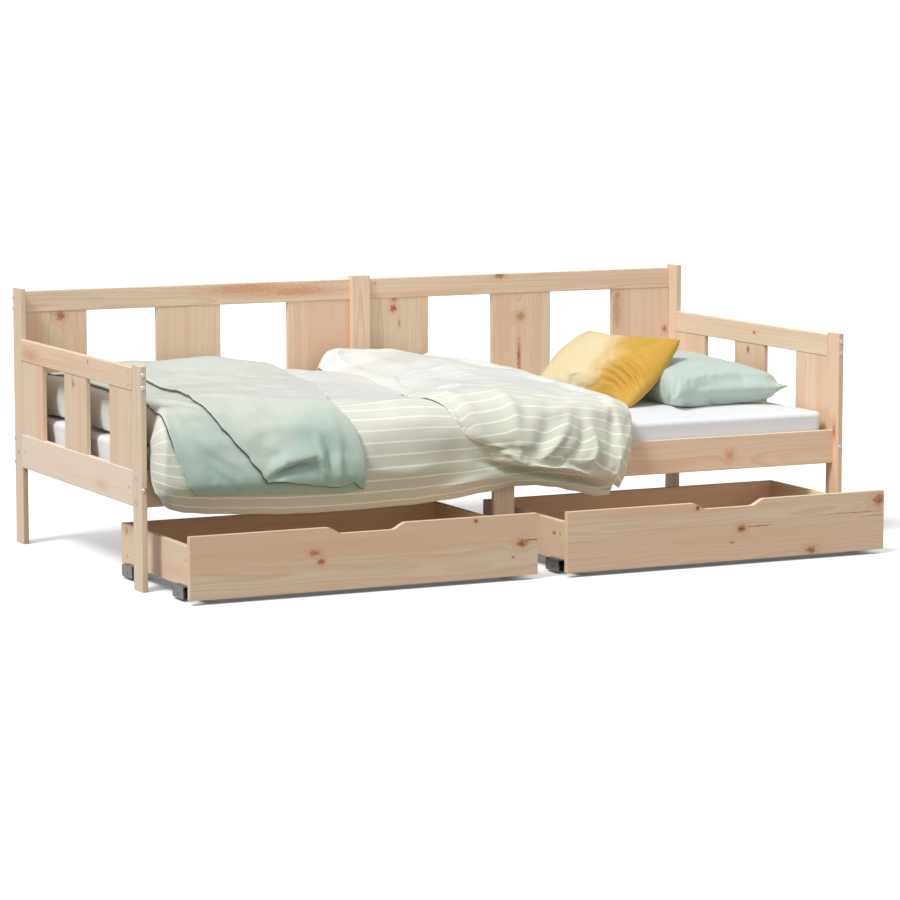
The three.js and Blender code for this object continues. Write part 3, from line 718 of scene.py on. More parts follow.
def eased(share, shares, values):
    """The value at a share, eased between the values that a table gives at its own shares."""
    if share <= shares[0]:
        return values[0]
    for i in range(1, len(shares)):
        if share <= shares[i]:
            within = smooth((share - shares[i - 1]) / (shares[i] - shares[i - 1]))
            return values[i - 1] + (values[i] - values[i - 1]) * within
    return values[-1]


def eased_grid(across, columns, run, rows, grid):
    """The same for a grid of values, whose rows lie along the bedding's path, in mm."""
    return eased(run / MM, rows, [eased(across, columns, row) for row in grid])


def looked_up(value, table):
    """Eases between the pairs of a table in millimetres."""
    return eased(value / MM, [pair[0] for pair in table], [pair[1] for pair in table]) * MM


def crowded(share, pull):
    """A share of a run whose steps lie closer together towards its two ends."""
    return share - pull * math.sin(WHOLE_TURN * share) / WHOLE_TURN


def rounded(distance, radius):
    short = 1 - min(max(distance / radius, 0.0), 1.0)
    return math.sqrt(1 - short * short)


def swell(x, run, swells):
    """Slow, uneven rises and hollows of cloth, each set with its size, height and seed."""
    return sum(
        height * noise.noise(Vector((x / size, run / size, seed))) for size, height, seed in swells
    )


CREASE_REACH = 2.5
CREASE_TIP = 0.02
CREASE_TAPER = 0.6


def creased(x, run, creases):
    """Ridges and hollows along drawn lines: points in mm, half width and height in mm."""
    total = 0.0
    x_mm, run_mm = x / MM, run / MM
    for line, width, height in creases:
        reach = CREASE_REACH * width
        xs, runs = zip(*line)
        if not min(xs) - reach < x_mm < max(xs) + reach:
            continue
        if not min(runs) - reach < run_mm < max(runs) + reach:
            continue
        distance, along = line_distance(x_mm, run_mm, line)
        if distance < reach:
            taper = math.sin(math.pi * min(max(along, CREASE_TIP), 1 - CREASE_TIP)) ** CREASE_TAPER
            total += height * taper * math.exp(-((distance / width) ** 2))
    return total * MM


def line_distance(x, run, line):
    """How far a point lies from a drawn line, and the share of the line's pieces before it."""
    best, along = math.inf, 0.0
    pieces = len(line) - 1
    for i in range(pieces):
        ax, ay = line[i]
        dx, dy = line[i + 1][0] - ax, line[i + 1][1] - ay
        share = ((x - ax) * dx + (run - ay) * dy) / (dx * dx + dy * dy)
        held = min(max(share, 0.0), 1.0)
        distance = math.hypot(x - ax - held * dx, run - ay - held * dy)
        if distance < best:
            best, along = distance, (i + held) / pieces
    return best, along


def filled_sheet(columns, rows, surface, pull):
    """A closed cloth case: an upper and a lower grid that meet in its rim, with its cloth's own map.

    The surface gives a place, and how far it lies across and along the cloth, from the shares
    across and along and from the side, 1 for the upper one and -1 for the lower one.
    """
    bm = bmesh.new()
    cloth_map = bm.loops.layers.uv.new("cloth")
    lengths = []
    for side in (1, -1):
        grid = bmesh.ops.create_grid(bm, x_segments=columns, y_segments=rows, size=0.5)
        verts = grid["verts"]
        where = {}
        for vert in verts:
            across = crowded(vert.co.x + 0.5, pull)
            along = crowded(vert.co.y + 0.5, pull)
            vert.co, where[vert] = surface(across, along, side)
        lengths = lengths or row_lengths(verts, columns + 1)
        faces = {face for vert in verts for face in vert.link_faces}
        row_of = {vert: index // (columns + 1) for index, vert in enumerate(verts)}
        for face in faces:
            for loop in face.loops:
                across_cloth, shift = where[loop.vert]
                loop[cloth_map].uv = (across_cloth, lengths[row_of[loop.vert]] + shift)
        if side < 0:
            bmesh.ops.reverse_faces(bm, faces=list(faces))
    bmesh.ops.remove_doubles(bm, verts=bm.verts, dist=SEWN_WITHIN)
    return bm


def row_lengths(verts, count):
    """How far each row of a grid lies along the cloth, as the mean over its middle columns."""
    lengths = [0.0]
    columns = range(count // 5, count - count // 5)
    for start in range(count, len(verts), count):
        steps = [(verts[start + i].co - verts[start - count + i].co).length for i in columns]
        lengths.append(lengths[-1] + sum(steps) / len(steps))
    return lengths


def press_with_air(piece, pressure, frames, reach, shrink, held=None, bending=0.5):
    """Presses a cloth case the way its faces point, each point within reach of where it started."""
    start = [vert.co.copy() for vert in piece.data.vertices]
    blow = piece.modifiers.new("air", "CLOTH")
    cloth = blow.settings
    cloth.use_pressure = True
    cloth.uniform_pressure_force = pressure
    cloth.effector_weights.gravity = 0
    cloth.bending_stiffness = bending
    cloth.shrink_min = -shrink
    cloth.air_damping = 4
    if held:
        group = piece.vertex_groups.new(name="held")
        group.add(held, 1.0, "REPLACE")
        cloth.vertex_group_mass = "held"
        cloth.pin_stiffness = 4
    blow.point_cache.frame_start = 1
    blow.point_cache.frame_end = frames
    for number in range(1, frames + 1):
        scene.frame_set(number)
    blown = piece.evaluated_get(bpy.context.evaluated_depsgraph_get()).to_mesh()
    for vert, origin, result in zip(piece.data.vertices, start, blown.vertices):
        move = result.co - origin
        if move.length > reach:
            move *= reach / move.length
        vert.co = origin + move
    piece.modifiers.remove(blow)
    piece.vertex_groups.clear()
    scene.frame_set(1)


def refine(piece):
    finer = piece.modifiers.new("finer", "SUBSURF")
    finer.levels = 1
    finer.render_levels = 1


# Mattress

MATTRESS_CORNER = 26 * MM
MATTRESS_EDGE = 14 * MM
MATTRESS_DRAW_IN = 5 * MM
MATTRESS_UNEVEN = 0.5
MATTRESS_UNEVEN_SCALE = 9
MATTRESS_CROWN = 5 * MM
MATTRESS_CROWN_RUN = 130 * MM
MATTRESS_TOP_BAND = 21 * MM
MATTRESS_CUT = 45 * MM


def slice_up(bm, axis, low, high, step):
    """Cuts across an axis, about every step, so that the flat sides can bend."""
    count = max(2, round((high - low) / step))
    for i in range(1, count):
        spot, normal = [0, 0, 0], [0, 0, 0]
        spot[axis] = low + (high - low) * i / count
        normal[axis] = 1
        geometry = bm.verts[:] + bm.edges[:] + bm.faces[:]
        bmesh.ops.bisect_plane(bm, geom=geometry, plane_co=spot, plane_no=normal)


def round_off(bm, edges, radius, segments):
    bmesh.ops.bevel(
        bm, geom=edges, offset=radius, segments=segments, profile=0.5, affect="EDGES", material=-1,
    )


def rise_of(edge):
    return abs(edge.verts[0].co.z - edge.verts[1].co.z)


def add_mattress(cover):
    low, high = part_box("mattress")
    size = high - low
    size.z -= MATTRESS_CROWN
    half = size / 2
    centre = low + half
    bm = bmesh.new()
    bmesh.ops.create_cube(bm, size=1, matrix=Matrix.Translation(centre) @ Matrix.Diagonal((*size, 1)))
    upright = [edge for edge in bm.edges if rise_of(edge) > half.z]
    round_off(bm, upright, MATTRESS_CORNER, segments=6)
    level = [edge for edge in bm.edges if rise_of(edge) < MM]
    round_off(bm, level, MATTRESS_EDGE, segments=4)
    for axis in range(3):
        slice_up(bm, axis, low[axis], low[axis] + size[axis], MATTRESS_CUT)
    for vert in bm.verts:
        x, y, z = vert.co - centre
        to_x, to_y = half.x - abs(x), half.y - abs(y)
        to_edge = min(to_x, to_y)
        if z > half.z - MATTRESS_TOP_BAND:
            vert.co.z += MATTRESS_CROWN * smooth(to_edge / MATTRESS_CROWN_RUN)
        waist = max(0.0, 1 - (z / (half.z - MATTRESS_EDGE)) ** 2)
        uneven = MATTRESS_UNEVEN * noise.noise(MATTRESS_UNEVEN_SCALE * vert.co)
        pull = MATTRESS_DRAW_IN * waist * (1 + uneven)
        if to_edge >= MATTRESS_EDGE:
            continue
        if to_x < to_y:
            vert.co.x -= math.copysign(pull, x)
        else:
            vert.co.y -= math.copysign(pull, y)
    bmesh.ops.recalc_face_normals(bm, faces=bm.faces)
    mattress = show("mattress_cover", bm, cover, "bed", ["mattress"])


# The path of the bedding: from the wall side along the mattress, over the rail and down

PROBE = 400 * MM
CLOTH_GAP = 0.6 * MM
HANG_GAP = 3 * MM
TURN_RADIUS = 14 * MM
MEAN_LOFT = 60 * MM
DROP = 156 * MM
BACK_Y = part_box("duvet")[1].y
RAIL_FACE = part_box("front_rail")[0].y
TURN_Y = RAIL_FACE - HANG_GAP + TURN_RADIUS
TOP_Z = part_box("mattress")[1].z + CLOTH_GAP
HANG_Z = TOP_Z - TURN_RADIUS
FLAT_RUN = BACK_Y - TURN_Y
BEND_RUN = (TURN_RADIUS + MEAN_LOFT) * WHOLE_TURN / 4
HANG_RUN = FLAT_RUN + BEND_RUN
FULL_RUN = HANG_RUN + DROP


def path_at(run):
    """The place on the path after a run along it, and the way that faces out there."""
    if run <= FLAT_RUN:
        return Vector((0, BACK_Y - run, TOP_Z)), Vector((0, 0, 1))
    angle = min((run - FLAT_RUN) / BEND_RUN, 1.0) * WHOLE_TURN / 4
    down = max(run - HANG_RUN, 0)
    out = Vector((0, -math.sin(angle), math.cos(angle)))
    hub = Vector((0, TURN_Y, HANG_Z))
    return hub + TURN_RADIUS * out - Vector((0, 0, down)), out


def lifted(x, run, height):
    spot, out = path_at(run)
    return Vector((x, 0, 0)) + spot + height * out


def drawn_down(x, along, hem):
    """The run at a share of the way to a hem, with level rows until the bend's end."""
    run = along * FULL_RUN
    if run <= HANG_RUN:
        return run
    return HANG_RUN + (run - HANG_RUN) / DROP * (looked_up(x, hem) - HANG_RUN)


def surface_over(*pieces):
    """Finds how high the outer side of some pieces stands over the bedding's path."""
    graph = bpy.context.evaluated_depsgraph_get()
    trees = [BVHTree.FromObject(piece.evaluated_get(graph), graph) for piece in pieces]

    def height(x, run):
        start = lifted(x, run, PROBE)
        hits = [tree.ray_cast(start, -path_at(run)[1], PROBE)[3] for tree in trees]
        return PROBE - min([hit for hit in hits if hit is not None], default=PROBE)

    return height


# Duvet

DUVET_COLUMNS, DUVET_ROWS = 112, 104
DUVET_LOFT = 100 * MM
DUVET_SIDE = 24 * MM
DUVET_END = 50 * MM
DUVET_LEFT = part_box("post_back_left")[1].x + 24 * MM
DUVET_INSET = 24 * MM
DUVET_SWELLS = [(160 * MM, 7 * MM, 3), (50 * MM, 1.6 * MM, 9)]
# Shares of the loft: the rows lie at runs in mm, and the columns at shares across
LOFT_ROWS = [0, 42, 234, 435, 637, 828, 950, 1060, 1156]
LOFT_COLUMNS = [0, 0.15, 0.35, 0.5, 0.62, 1]
LOFT_SHARES = [
    [0.94, 1.0, 0.93, 0.9, 0.84, 0.7],
    [1.06, 1.18, 1.2, 1.08, 0.92, 0.72],
    [1.16, 1.4, 1.38, 1.16, 0.98, 0.76],
    [1.1, 1.22, 1.12, 0.98, 0.86, 0.7],
    [1.04, 1.1, 1.02, 0.94, 0.8, 0.58],
    [1.0, 1.0, 0.98, 0.96, 0.84, 0.47],
    [0.93, 0.86, 0.89, 0.93, 0.84, 0.4],
    [1.03, 1.14, 1.07, 0.95, 0.78, 0.6],
    [0.7, 0.75, 0.74, 0.68, 0.6, 0.46],
]
# Edges give a place along the bed for a run along the path, in mm, and hems a run for a place
DUVET_LEFT_EDGE = [
    (0, -988), (880, -990), (950, -1008), (1050, -1010), (1082, -1009), (1118, -1002), (1156, -975),
]
DUVET_RIGHT_EDGE = [
    (0, 240), (42, 266), (234, 312), (435, 338), (637, 360), (828, 374), (950, 366),
    (988, 359), (1053, 352), (1107, 344), (1156, 330),
]
DUVET_HEM = [
    (-1000, 1118), (-980, 1130), (-954, 1142), (-913, 1152), (-846, 1160), (-751, 1167),
    (-641, 1174), (-558, 1176), (-446, 1176), (-313, 1173), (-190, 1167), (-63, 1153),
    (0, 1143), (72, 1144), (128, 1152), (191, 1166), (263, 1182), (310, 1180),
]
DUVET_CREASES = [
    ([(-150, 560), (-210, 640), (-300, 700)], 14, 5),
    ([(-120, 660), (-190, 740), (-260, 830)], 12, -5),
    ([(-150, 780), (-230, 850), (-330, 900)], 16, 5),
    ([(-190, 930), (-300, 960), (-400, 950)], 18, 4),
    ([(-950, 930), (-900, 1010), (-880, 1080)], 16, 5),
    ([(-722, 1068), (-694, 1044), (-650, 1029), (-592, 1030)], 13, -20),
    ([(-567, 975), (-551, 1002), (-554, 1032), (-549, 1063), (-538, 1085)], 8, -12),
    ([(-240, 1150), (-180, 1120), (-60, 1100), (60, 1115)], 16, 9),
    ([(-200, 1165), (-120, 1135), (-20, 1130)], 10, -8),
    ([(-40, 1112), (96, 1132), (205, 1156), (290, 1172)], 7, 8),
    ([(-880, 760), (-760, 800), (-640, 850)], 22, 5),
    ([(-420, 880), (-300, 900), (-200, 880)], 14, 4),
    ([(-420, 1060), (-330, 1075), (-240, 1060)], 16, 4),
    ([(-900, 1130), (-700, 1150), (-500, 1150)], 8, 5),
]


def duvet_edges(run):
    return looked_up(run, DUVET_LEFT_EDGE), looked_up(run, DUVET_RIGHT_EDGE)


def duvet_loft(x, run):
    left, right = duvet_edges(run)
    across = (x - left) / (right - left)
    return DUVET_LOFT * eased_grid(across, LOFT_COLUMNS, run, LOFT_ROWS, LOFT_SHARES)


def duvet_surface(across, along, side):
    left, right = duvet_edges(along * FULL_RUN)
    right -= DUVET_INSET
    width = right - left
    x = left + width * across
    run = drawn_down(x, along, DUVET_HEM)
    to_side = min(across, 1 - across) * width
    to_end = min(along, 1 - along) * FULL_RUN
    edge = rounded(to_side, DUVET_SIDE) * rounded(to_end, DUVET_END)
    height = duvet_loft(x, run) / 2 * (1 + side * edge)
    if side > 0:
        height += (swell(x, run, DUVET_SWELLS) + creased(x, run, DUVET_CREASES)) * edge
    return lifted(x, run, height), (x - DUVET_LEFT, 0.0)


def add_duvet(cotton):
    bm = filled_sheet(DUVET_COLUMNS, DUVET_ROWS, duvet_surface, pull=0.3)
    duvet = show("duvet_filled", bm, cotton, "bed", ["duvet"])
    return duvet


# Turned-back part of the duvet

FOLD_COLUMNS, FOLD_ROWS = 76, 100
FOLD_EDGE = 30 * MM
FOLD_WRAP = 62 * MM
FOLD_WRAP_EASE = 30 * MM
FOLD_GAP = 1.2 * MM
FOLD_SEAM = [
    (0, -150), (60, -152), (200, -158), (400, -165), (600, -185), (780, -216), (850, -227),
    (885, -226), (905, -207), (925, -189), (947, -184), (983, -163), (1017, -134), (1062, -90),
    (1156, -78),
]
FOLD_HEM = [
    (-118, 1050), (-85, 1061), (-50, 1069), (-3, 1078), (47, 1088), (96, 1096), (155, 1108),
    (205, 1120), (255, 1136), (298, 1150), (335, 1164),
]
HEM_GROOVE = [
    ([(-112, 1056), (-3, 1083), (96, 1101), (205, 1125), (298, 1155), (330, 1166)], 7, -30),
]
PRESSED_FROM = 40 * MM
SEAM_KEPT = 60 * MM
FOLD_SWELLS = [(120 * MM, 7 * MM, 5), (45 * MM, 2 * MM, 11)]
# Thickness by the run in mm, less beside the seam and beside the right edge, by the distance in mm
FOLD_THICKNESS = [
    (0, 48), (42, 59), (234, 55), (435, 50), (637, 45), (828, 40), (950, 42), (1050, 58),
    (1100, 58), (1156, 44),
]
FOLD_SIDE_ROWS = [30, 130, 560, 900]
FOLD_SIDE_COLUMNS = [0, 60, 160, 280]
FOLD_SIDES = [[0.85, 1, 1, 1], [0.05, 0.3, 0.72, 1], [0.08, 0.36, 0.76, 1], [0.28, 0.64, 0.94, 1]]
FOLD_RIGHT = [0, 70, 190], [0.52, 0.7, 1.0]
FOLD_HUG = 0.7
RUFFLE_PITCH = 24 * MM
RUFFLE_HEIGHT = 4.5 * MM
RUFFLE_SWAY = 4
RUFFLE_SWAY_SCALE = 9
RUFFLE_REACH = 34 * MM
RUFFLE_REST = 110 * MM
RUFFLE_EASE = 60 * MM
RUFFLE_AGAIN = 640 * MM
SEAM_SINK = 14 * MM
SEAM_SINK_REACH = 50 * MM
SEAM_BOW = 26 * MM
SEAM_BOW_REACH = 110 * MM
END_BOW = 52 * MM
END_BOW_REACH = 250 * MM
FOLD_CREASES = [
    ([(160, 955), (137, 982), (115, 996), (91, 1017), (71, 1035), (50, 1052)], 8, 12),
    ([(90, 955), (78, 983), (64, 999), (46, 1020), (28, 1044)], 22, -11),
    ([(-12, 995), (-9, 1024), (-7, 1052)], 7, 5),
    ([(200, 965), (190, 989), (183, 1014), (160, 1039), (140, 1056)], 17, -11),
    ([(205, 975), (221, 1010), (221, 1042), (206, 1062), (180, 1068)], 8, 10),
    ([(130, 1050), (108, 1067), (74, 1071)], 8, -10),
    ([(20, 1060), (60, 1080), (100, 1080)], 7, 6),
    ([(135, 1066), (165, 1082), (195, 1090)], 7, -7),
    ([(-60, 1046), (-40, 1040), (0, 1062)], 11, 6),
    ([(290, 950), (284, 1000), (268, 1050)], 16, -6),
    ([(300, 1040), (296, 1090), (280, 1120)], 9, 6),
    ([(-190, 800), (-190, 880), (-165, 950), (-142, 990), (-95, 1040)], 9, -7),
    ([(-205, 905), (-178, 955), (-155, 1000), (-110, 1040)], 8, 6),
    ([(-60, 800), (20, 850), (120, 860)], 20, 7),
    ([(150, 820), (240, 870), (330, 880)], 20, 6),
    ([(40, 900), (110, 915), (200, 905)], 14, -5),
    ([(-40, 900), (-10, 950), (-30, 1000)], 16, 6),
    ([(-120, 700), (-60, 740), (0, 730)], 14, 5),
    ([(-40, 560), (60, 600), (180, 590)], 20, 6),
    ([(-60, 380), (60, 430), (160, 440)], 24, 6),
]
FOLD_DEPTH = 1.3


def fold_spot(across, along):
    """A place along the bed and along the path, and the seam and the right edge beside it."""
    run = along * FULL_RUN
    seam = looked_up(run, FOLD_SEAM)
    right = duvet_edges(run)[1]
    x = seam + (right - seam) * across
    return x, drawn_down(x, along, FOLD_HEM), seam, right


def fold_loft(to_seam, to_right, run):
    side = eased_grid(to_seam / MM, FOLD_SIDE_COLUMNS, run, FOLD_SIDE_ROWS, FOLD_SIDES)
    return looked_up(run, FOLD_THICKNESS) * side * eased(to_right / MM, *FOLD_RIGHT)


def ruffles(run):
    """Small waves that the seam's gathers make along it."""
    sway = RUFFLE_SWAY * noise.noise(Vector((0, RUFFLE_SWAY_SCALE * run, 2)))
    return RUFFLE_HEIGHT * math.sin(WHOLE_TURN * run / RUFFLE_PITCH + sway)


def add_fold(cotton, below):
    @functools.cache
    def rest(across, along):
        x, run, _, _ = fold_spot(across, along)
        return below(x, run)

    def surface(across, along, side):
        x, run, seam, right = fold_spot(across, along)
        to_seam, to_right = x - seam, right - x
        end = rounded(min(along, 1 - along) * FULL_RUN, FOLD_EDGE)
        rise = rounded(to_seam, FOLD_EDGE)
        wrap = rounded(to_right, FOLD_WRAP)
        free = smooth((to_right - FOLD_WRAP) / FOLD_WRAP_EASE)
        inner = free * rest(across, along) + (1 - free) * duvet_loft(x, run) + FOLD_GAP
        low = free * inner
        high = inner + rise * fold_loft(to_seam, to_right, run)
        centre = low + (high - low) / 2 * (1 - FOLD_HUG * (1 - end) * free)
        reach = high - centre if side > 0 else centre - low
        height = centre + side * rise * end * reach * (free + (1 - free) * wrap)
        lively = smooth(max(RUFFLE_REST - run, run - RUFFLE_AGAIN) / RUFFLE_EASE)
        height -= (1 - lively) * SEAM_SINK * math.exp(-to_seam / SEAM_SINK_REACH)
        crease = 0.0
        if side > 0:
            shown = rise * end * wrap
            crease = FOLD_DEPTH * creased(x, run, FOLD_CREASES) * shown
            puff = swell(x, run, FOLD_SWELLS)
            puff += lively * ruffles(run) * math.exp(-to_seam / RUFFLE_REACH)
            height += puff * shown + crease
        bow = SEAM_BOW * math.exp(-to_seam / SEAM_BOW_REACH)
        bow += END_BOW * max(0.0, 1 - to_right / END_BOW_REACH) ** 2
        return lifted(x, run, height), (x - DUVET_LEFT, crease - bow)

    bm = filled_sheet(FOLD_COLUMNS, FOLD_ROWS, surface, pull=0.3)
    fold = show("duvet_turned_back", bm, cotton, "bed")
    return fold


def seam_kept(fold):
    """The points beside the seam that the air leaves lying flat, behind its ruffled end."""
    held = []
    for vert in fold.data.vertices:
        run = BACK_Y - vert.co.y
        if RUFFLE_REST < run < RUFFLE_AGAIN and vert.co.x < looked_up(run, FOLD_SEAM) + SEAM_KEPT:
            held.append(vert.index)
    return held


def press_in(piece, creases):
    """Presses lines into the hanging front of a piece."""
    for vert in piece.data.vertices:
        if RAIL_FACE - vert.co.y > PRESSED_FROM:
            vert.co.y -= creased(vert.co.x, HANG_RUN + HANG_Z - vert.co.z, creases)


def finish_case(piece):
    """Turns the faces of a case outwards, whose rows run towards the front, and rounds it."""
    piece.data.flip_normals()
    refine(piece)


# Throw: one sheet laid double, with its fold to the right

THROW_LEFT = [
    (0, -956), (700, -960), (800, -966), (860, -974), (900, -979), (925, -980), (950, -977),
    (979, -968), (1021, -952), (1070, -934), (1096, -914),
]
THROW_RIGHT = [
    (0, -440), (150, -420), (250, -402), (356, -394), (592, -422), (760, -468), (898, -510),
    (927, -504), (952, -484), (976, -471), (1014, -460), (1055, -458), (1102, -455),
]
THROW_TOP_EDGE = [
    (0, -865), (300, -848), (483, -838), (634, -834), (755, -838), (860, -851), (918, -853),
    (947, -835), (971, -811), (1009, -771), (1053, -741), (1072, -728),
]
THROW_UNDER_HEM = [(-910, 1097), (-866, 1099), (-790, 1102), (-720, 1105), (-621, 1110), (-436, 1120)]
THROW_OVER_HEM = [
    (-726, 1072), (-669, 1080), (-611, 1087), (-551, 1096), (-515, 1092), (-490, 1082),
    (-465, 1092), (-438, 1100),
]
UNDER_COLUMNS, TURN_COLUMNS, OVER_COLUMNS = 60, 6, 56
THROW_ROWS = 118
THROW_LEVEL_ROWS = 100
THROW_START = 30 * MM
# The hem has left the fold's corner after a ninth of its width, the upper layer rises from the fold
# within an eighth of it, and its last sixth lies calm
THROW_CORNER = 1 / 9
THROW_RISE = 1 / 8
THROW_CALM = 1 / 6
THROW_SWELLS = [(75 * MM, 5 * MM, 4), (28 * MM, 1.8 * MM, 8)]
THROW_THICKNESS = 7 * MM
THROW_LIFT = 2 * MM
THROW_FOLD = 10 * MM
PIPING_RADIUS = 1.6 * MM
THROW_CREASES = [
    ([(-722, 1050), (-702, 1026), (-676, 1010), (-636, 1002), (-596, 1006), (-584, 1030)], 9, 22),
    ([(-582, 972), (-579, 1012), (-573, 1048), (-556, 1074)], 7, 11),
    ([(-525, 985), (-530, 1040), (-520, 1085)], 9, 8),
    ([(-500, 960), (-505, 1010), (-500, 1060)], 14, -3),
    ([(-785, 979), (-741, 962), (-698, 956), (-619, 956), (-551, 970), (-482, 996)], 9, 6),
    ([(-760, 940), (-690, 925), (-600, 925), (-520, 945)], 12, -4),
    ([(-740, 1000), (-700, 985), (-650, 978)], 8, 4),
    ([(-640, 760), (-560, 800), (-470, 850)], 18, 6),
    ([(-700, 640), (-600, 700), (-500, 720)], 24, 6),
    ([(-780, 420), (-650, 520), (-560, 600)], 22, 7),
    ([(-800, 300), (-700, 360), (-600, 380)], 20, -3),
    ([(-660, 860), (-590, 880), (-520, 900)], 14, 5),
    ([(-470, 900), (-462, 980), (-466, 1060)], 9, 5),
]
THROW_SLUMPS = [([(-718, 1046), (-690, 1020), (-640, 1006), (-594, 1012)], 11, 16)]
UNDER_CREASES = [
    ([(-930, 960), (-860, 990), (-800, 1030)], 11, 7),
    ([(-890, 1020), (-850, 1050), (-810, 1080)], 9, -3),
    ([(-948, 850), (-900, 900), (-850, 930)], 16, 6),
    ([(-930, 700), (-870, 820), (-850, 900)], 14, 5),
    ([(-900, 985), (-840, 975), (-790, 985)], 9, 4),
    ([(-868, 1060), (-862, 1085)], 6, 4),
    ([(-800, 1050), (-790, 1090)], 7, 4),
]
HEM_PIPED_FROM = UNDER_COLUMNS + 2
PIPING_TUCK = 6 * MM
TUCK_FROM = 975 * MM
TUCK_TO = 1010 * MM

THROW_LAYERS = {
    "under": (THROW_LEFT, THROW_UNDER_HEM),
    "turn": (THROW_TOP_EDGE, THROW_OVER_HEM),
    "over": (THROW_TOP_EDGE, THROW_OVER_HEM),
}


def throw_run(part, from_right, row):
    """The run of a row, level until the bend's end and then drawn down to the layer's hem."""
    edge, hem = THROW_LAYERS[part]
    run = THROW_START + (HANG_RUN - THROW_START) * min(row / THROW_LEVEL_ROWS, 1)
    if row > THROW_LEVEL_ROWS:
        right = looked_up(run, THROW_RIGHT)
        corner_run = (looked_up(right, THROW_OVER_HEM) + looked_up(right, THROW_UNDER_HEM)) / 2
        reach = 0 if part == "turn" else min(1, from_right / THROW_CORNER)
        x = right * (1 - from_right) + looked_up(run, edge) * from_right
        end = corner_run + (looked_up(x, hem) - corner_run) * reach
        run += (end - HANG_RUN) * (row - THROW_LEVEL_ROWS) / (THROW_ROWS - THROW_LEVEL_ROWS)
    return run


def throw_puff(x, run, share):
    """The upper layer's swells and creases, which never sink far into the lower layer."""
    puff = swell(x, run, THROW_SWELLS) * (1 - smooth((share - 1) / THROW_CALM + 1))
    return max(puff + creased(x, run, THROW_CREASES), -THROW_FOLD / 4)


def add_throw(quilted, piping, below):
    # Shares across the unfolded sheet: under layer, turn and upper layer, each 0 to 1
    columns = [("under", i / UNDER_COLUMNS) for i in range(UNDER_COLUMNS)]
    columns += [("turn", i / TURN_COLUMNS) for i in range(TURN_COLUMNS)]
    columns += [("over", i / OVER_COLUMNS) for i in range(OVER_COLUMNS + 1)]
    count = len(columns)
    bm = bmesh.new()
    cloth_map = bm.loops.layers.uv.new("cloth")
    grid = bmesh.ops.create_grid(bm, x_segments=count - 1, y_segments=THROW_ROWS, size=0.5)
    verts = grid["verts"]
    where, tucked = {}, []
    for index, vert in enumerate(verts):
        part, share = columns[index % count]
        from_right = 1 - share if part == "under" else share
        run = throw_run(part, from_right, index // count)
        right = looked_up(run, THROW_RIGHT)
        spread = from_right * (looked_up(run, THROW_LAYERS[part][0]) - right)
        x = right + spread
        height, slump = 0.0, 0.0
        if part == "under":
            height = creased(x, run, UNDER_CREASES)
        elif part == "turn":
            x = right + THROW_FOLD / 2 * math.sin(share * math.pi)
            height = THROW_FOLD / 2 * (1 - math.cos(share * math.pi))
        else:
            ease = smooth(share / THROW_RISE)
            height = THROW_FOLD + ease * throw_puff(x, run, share)
            slump = ease * creased(x, run, THROW_SLUMPS)
        height += below(min(x, right), run) + THROW_LIFT + THROW_THICKNESS / 2
        vert.co = lifted(x, run + slump, height)
        where[vert] = (spread, run)
        if index % count == 0:
            tuck = PIPING_TUCK * smooth((run - TUCK_FROM) / (TUCK_TO - TUCK_FROM))
            tucked.append(lifted(x + tuck, run, height - tuck / 2))
    for face in bm.faces:
        for loop in face.loops:
            loop[cloth_map].uv = where[loop.vert]
    hem = verts[THROW_ROWS * count + HEM_PIPED_FROM:]
    borders = {
        "under": tucked,
        "over": [vert.co.copy() for vert in verts[count - 1::count]],
        "hem": [vert.co.copy() for vert in hem],
    }
    throw = show("throw_sheet", bm, quilted, "bed", ["throw"])
    thick = throw.modifiers.new("thick", "SOLIDIFY")
    thick.thickness = THROW_THICKNESS
    thick.offset = 0
    refine(throw)
    trims = [add_piping("throw_piping_" + name, line, piping) for name, line in borders.items()]


def add_piping(name, line, material):
    curve = bpy.data.curves.new(name, "CURVE")
    curve.dimensions = "3D"
    curve.bevel_depth = PIPING_RADIUS
    curve.bevel_resolution = 2
    curve.use_fill_caps = True
    spline = curve.splines.new("POLY")
    spline.points.add(len(line) - 1)
    for point, spot in zip(spline.points, line):
        point.co = (*spot, 1)
    holder = bpy.data.objects.new(name, curve)
    scene.collection.objects.link(holder)
    shape = holder.evaluated_get(bpy.context.evaluated_depsgraph_get())
    bm = bmesh.new()
    bm.from_mesh(shape.to_mesh())
    bpy.data.objects.remove(holder)
    return show(name, bm, material, "bed")


# Pillows: two flat cloths, sewn together round their edge and blown up

PILLOW_SIZE = (384 * MM, 604 * MM, 126 * MM)
PILLOW_SPOT = Vector((0.788, -0.466, 0.413))
PILLOW_TURNS = (2.2, -0.6, 1.5)
CUSHION_SIZE = (318 * MM, 318 * MM, 122 * MM)
CUSHION_SPOT = Vector((0.562, -0.446, 0.447))
CUSHION_TURNS = (2.3, -33.2, 26.1)
CUSHION_BOW = (34 * MM, 52 * MM)
CASE_CROWN = 0.42
CASE_SIDES_IN = 0.1
CASE_ENDS_IN = 0.09
CASE_SWELL = 5 * MM
CASE_SWELL_SIZE = 70 * MM
CASE_REACH = 26 * MM
CASE_CREASES_FROM = 1 / 5
PILLOW_CREASES = [
    ([(-150, -300), (-120, -270), (-95, -262)], 9, 6),
    ([(-172, -262), (-150, -235), (-130, -225)], 9, 5),
    ([(-70, -296), (-62, -262), (-66, -225)], 11, -6),
    ([(-10, -296), (-4, -255), (-10, -215)], 10, -5),
    ([(60, -290), (64, -250), (56, -210)], 12, -5),
    ([(120, -290), (118, -262), (104, -236)], 9, 4),
    ([(-150, -160), (-60, -120), (40, -140)], 22, 5),
    ([(-40, 40), (60, 90), (130, 60)], 24, 5),
]
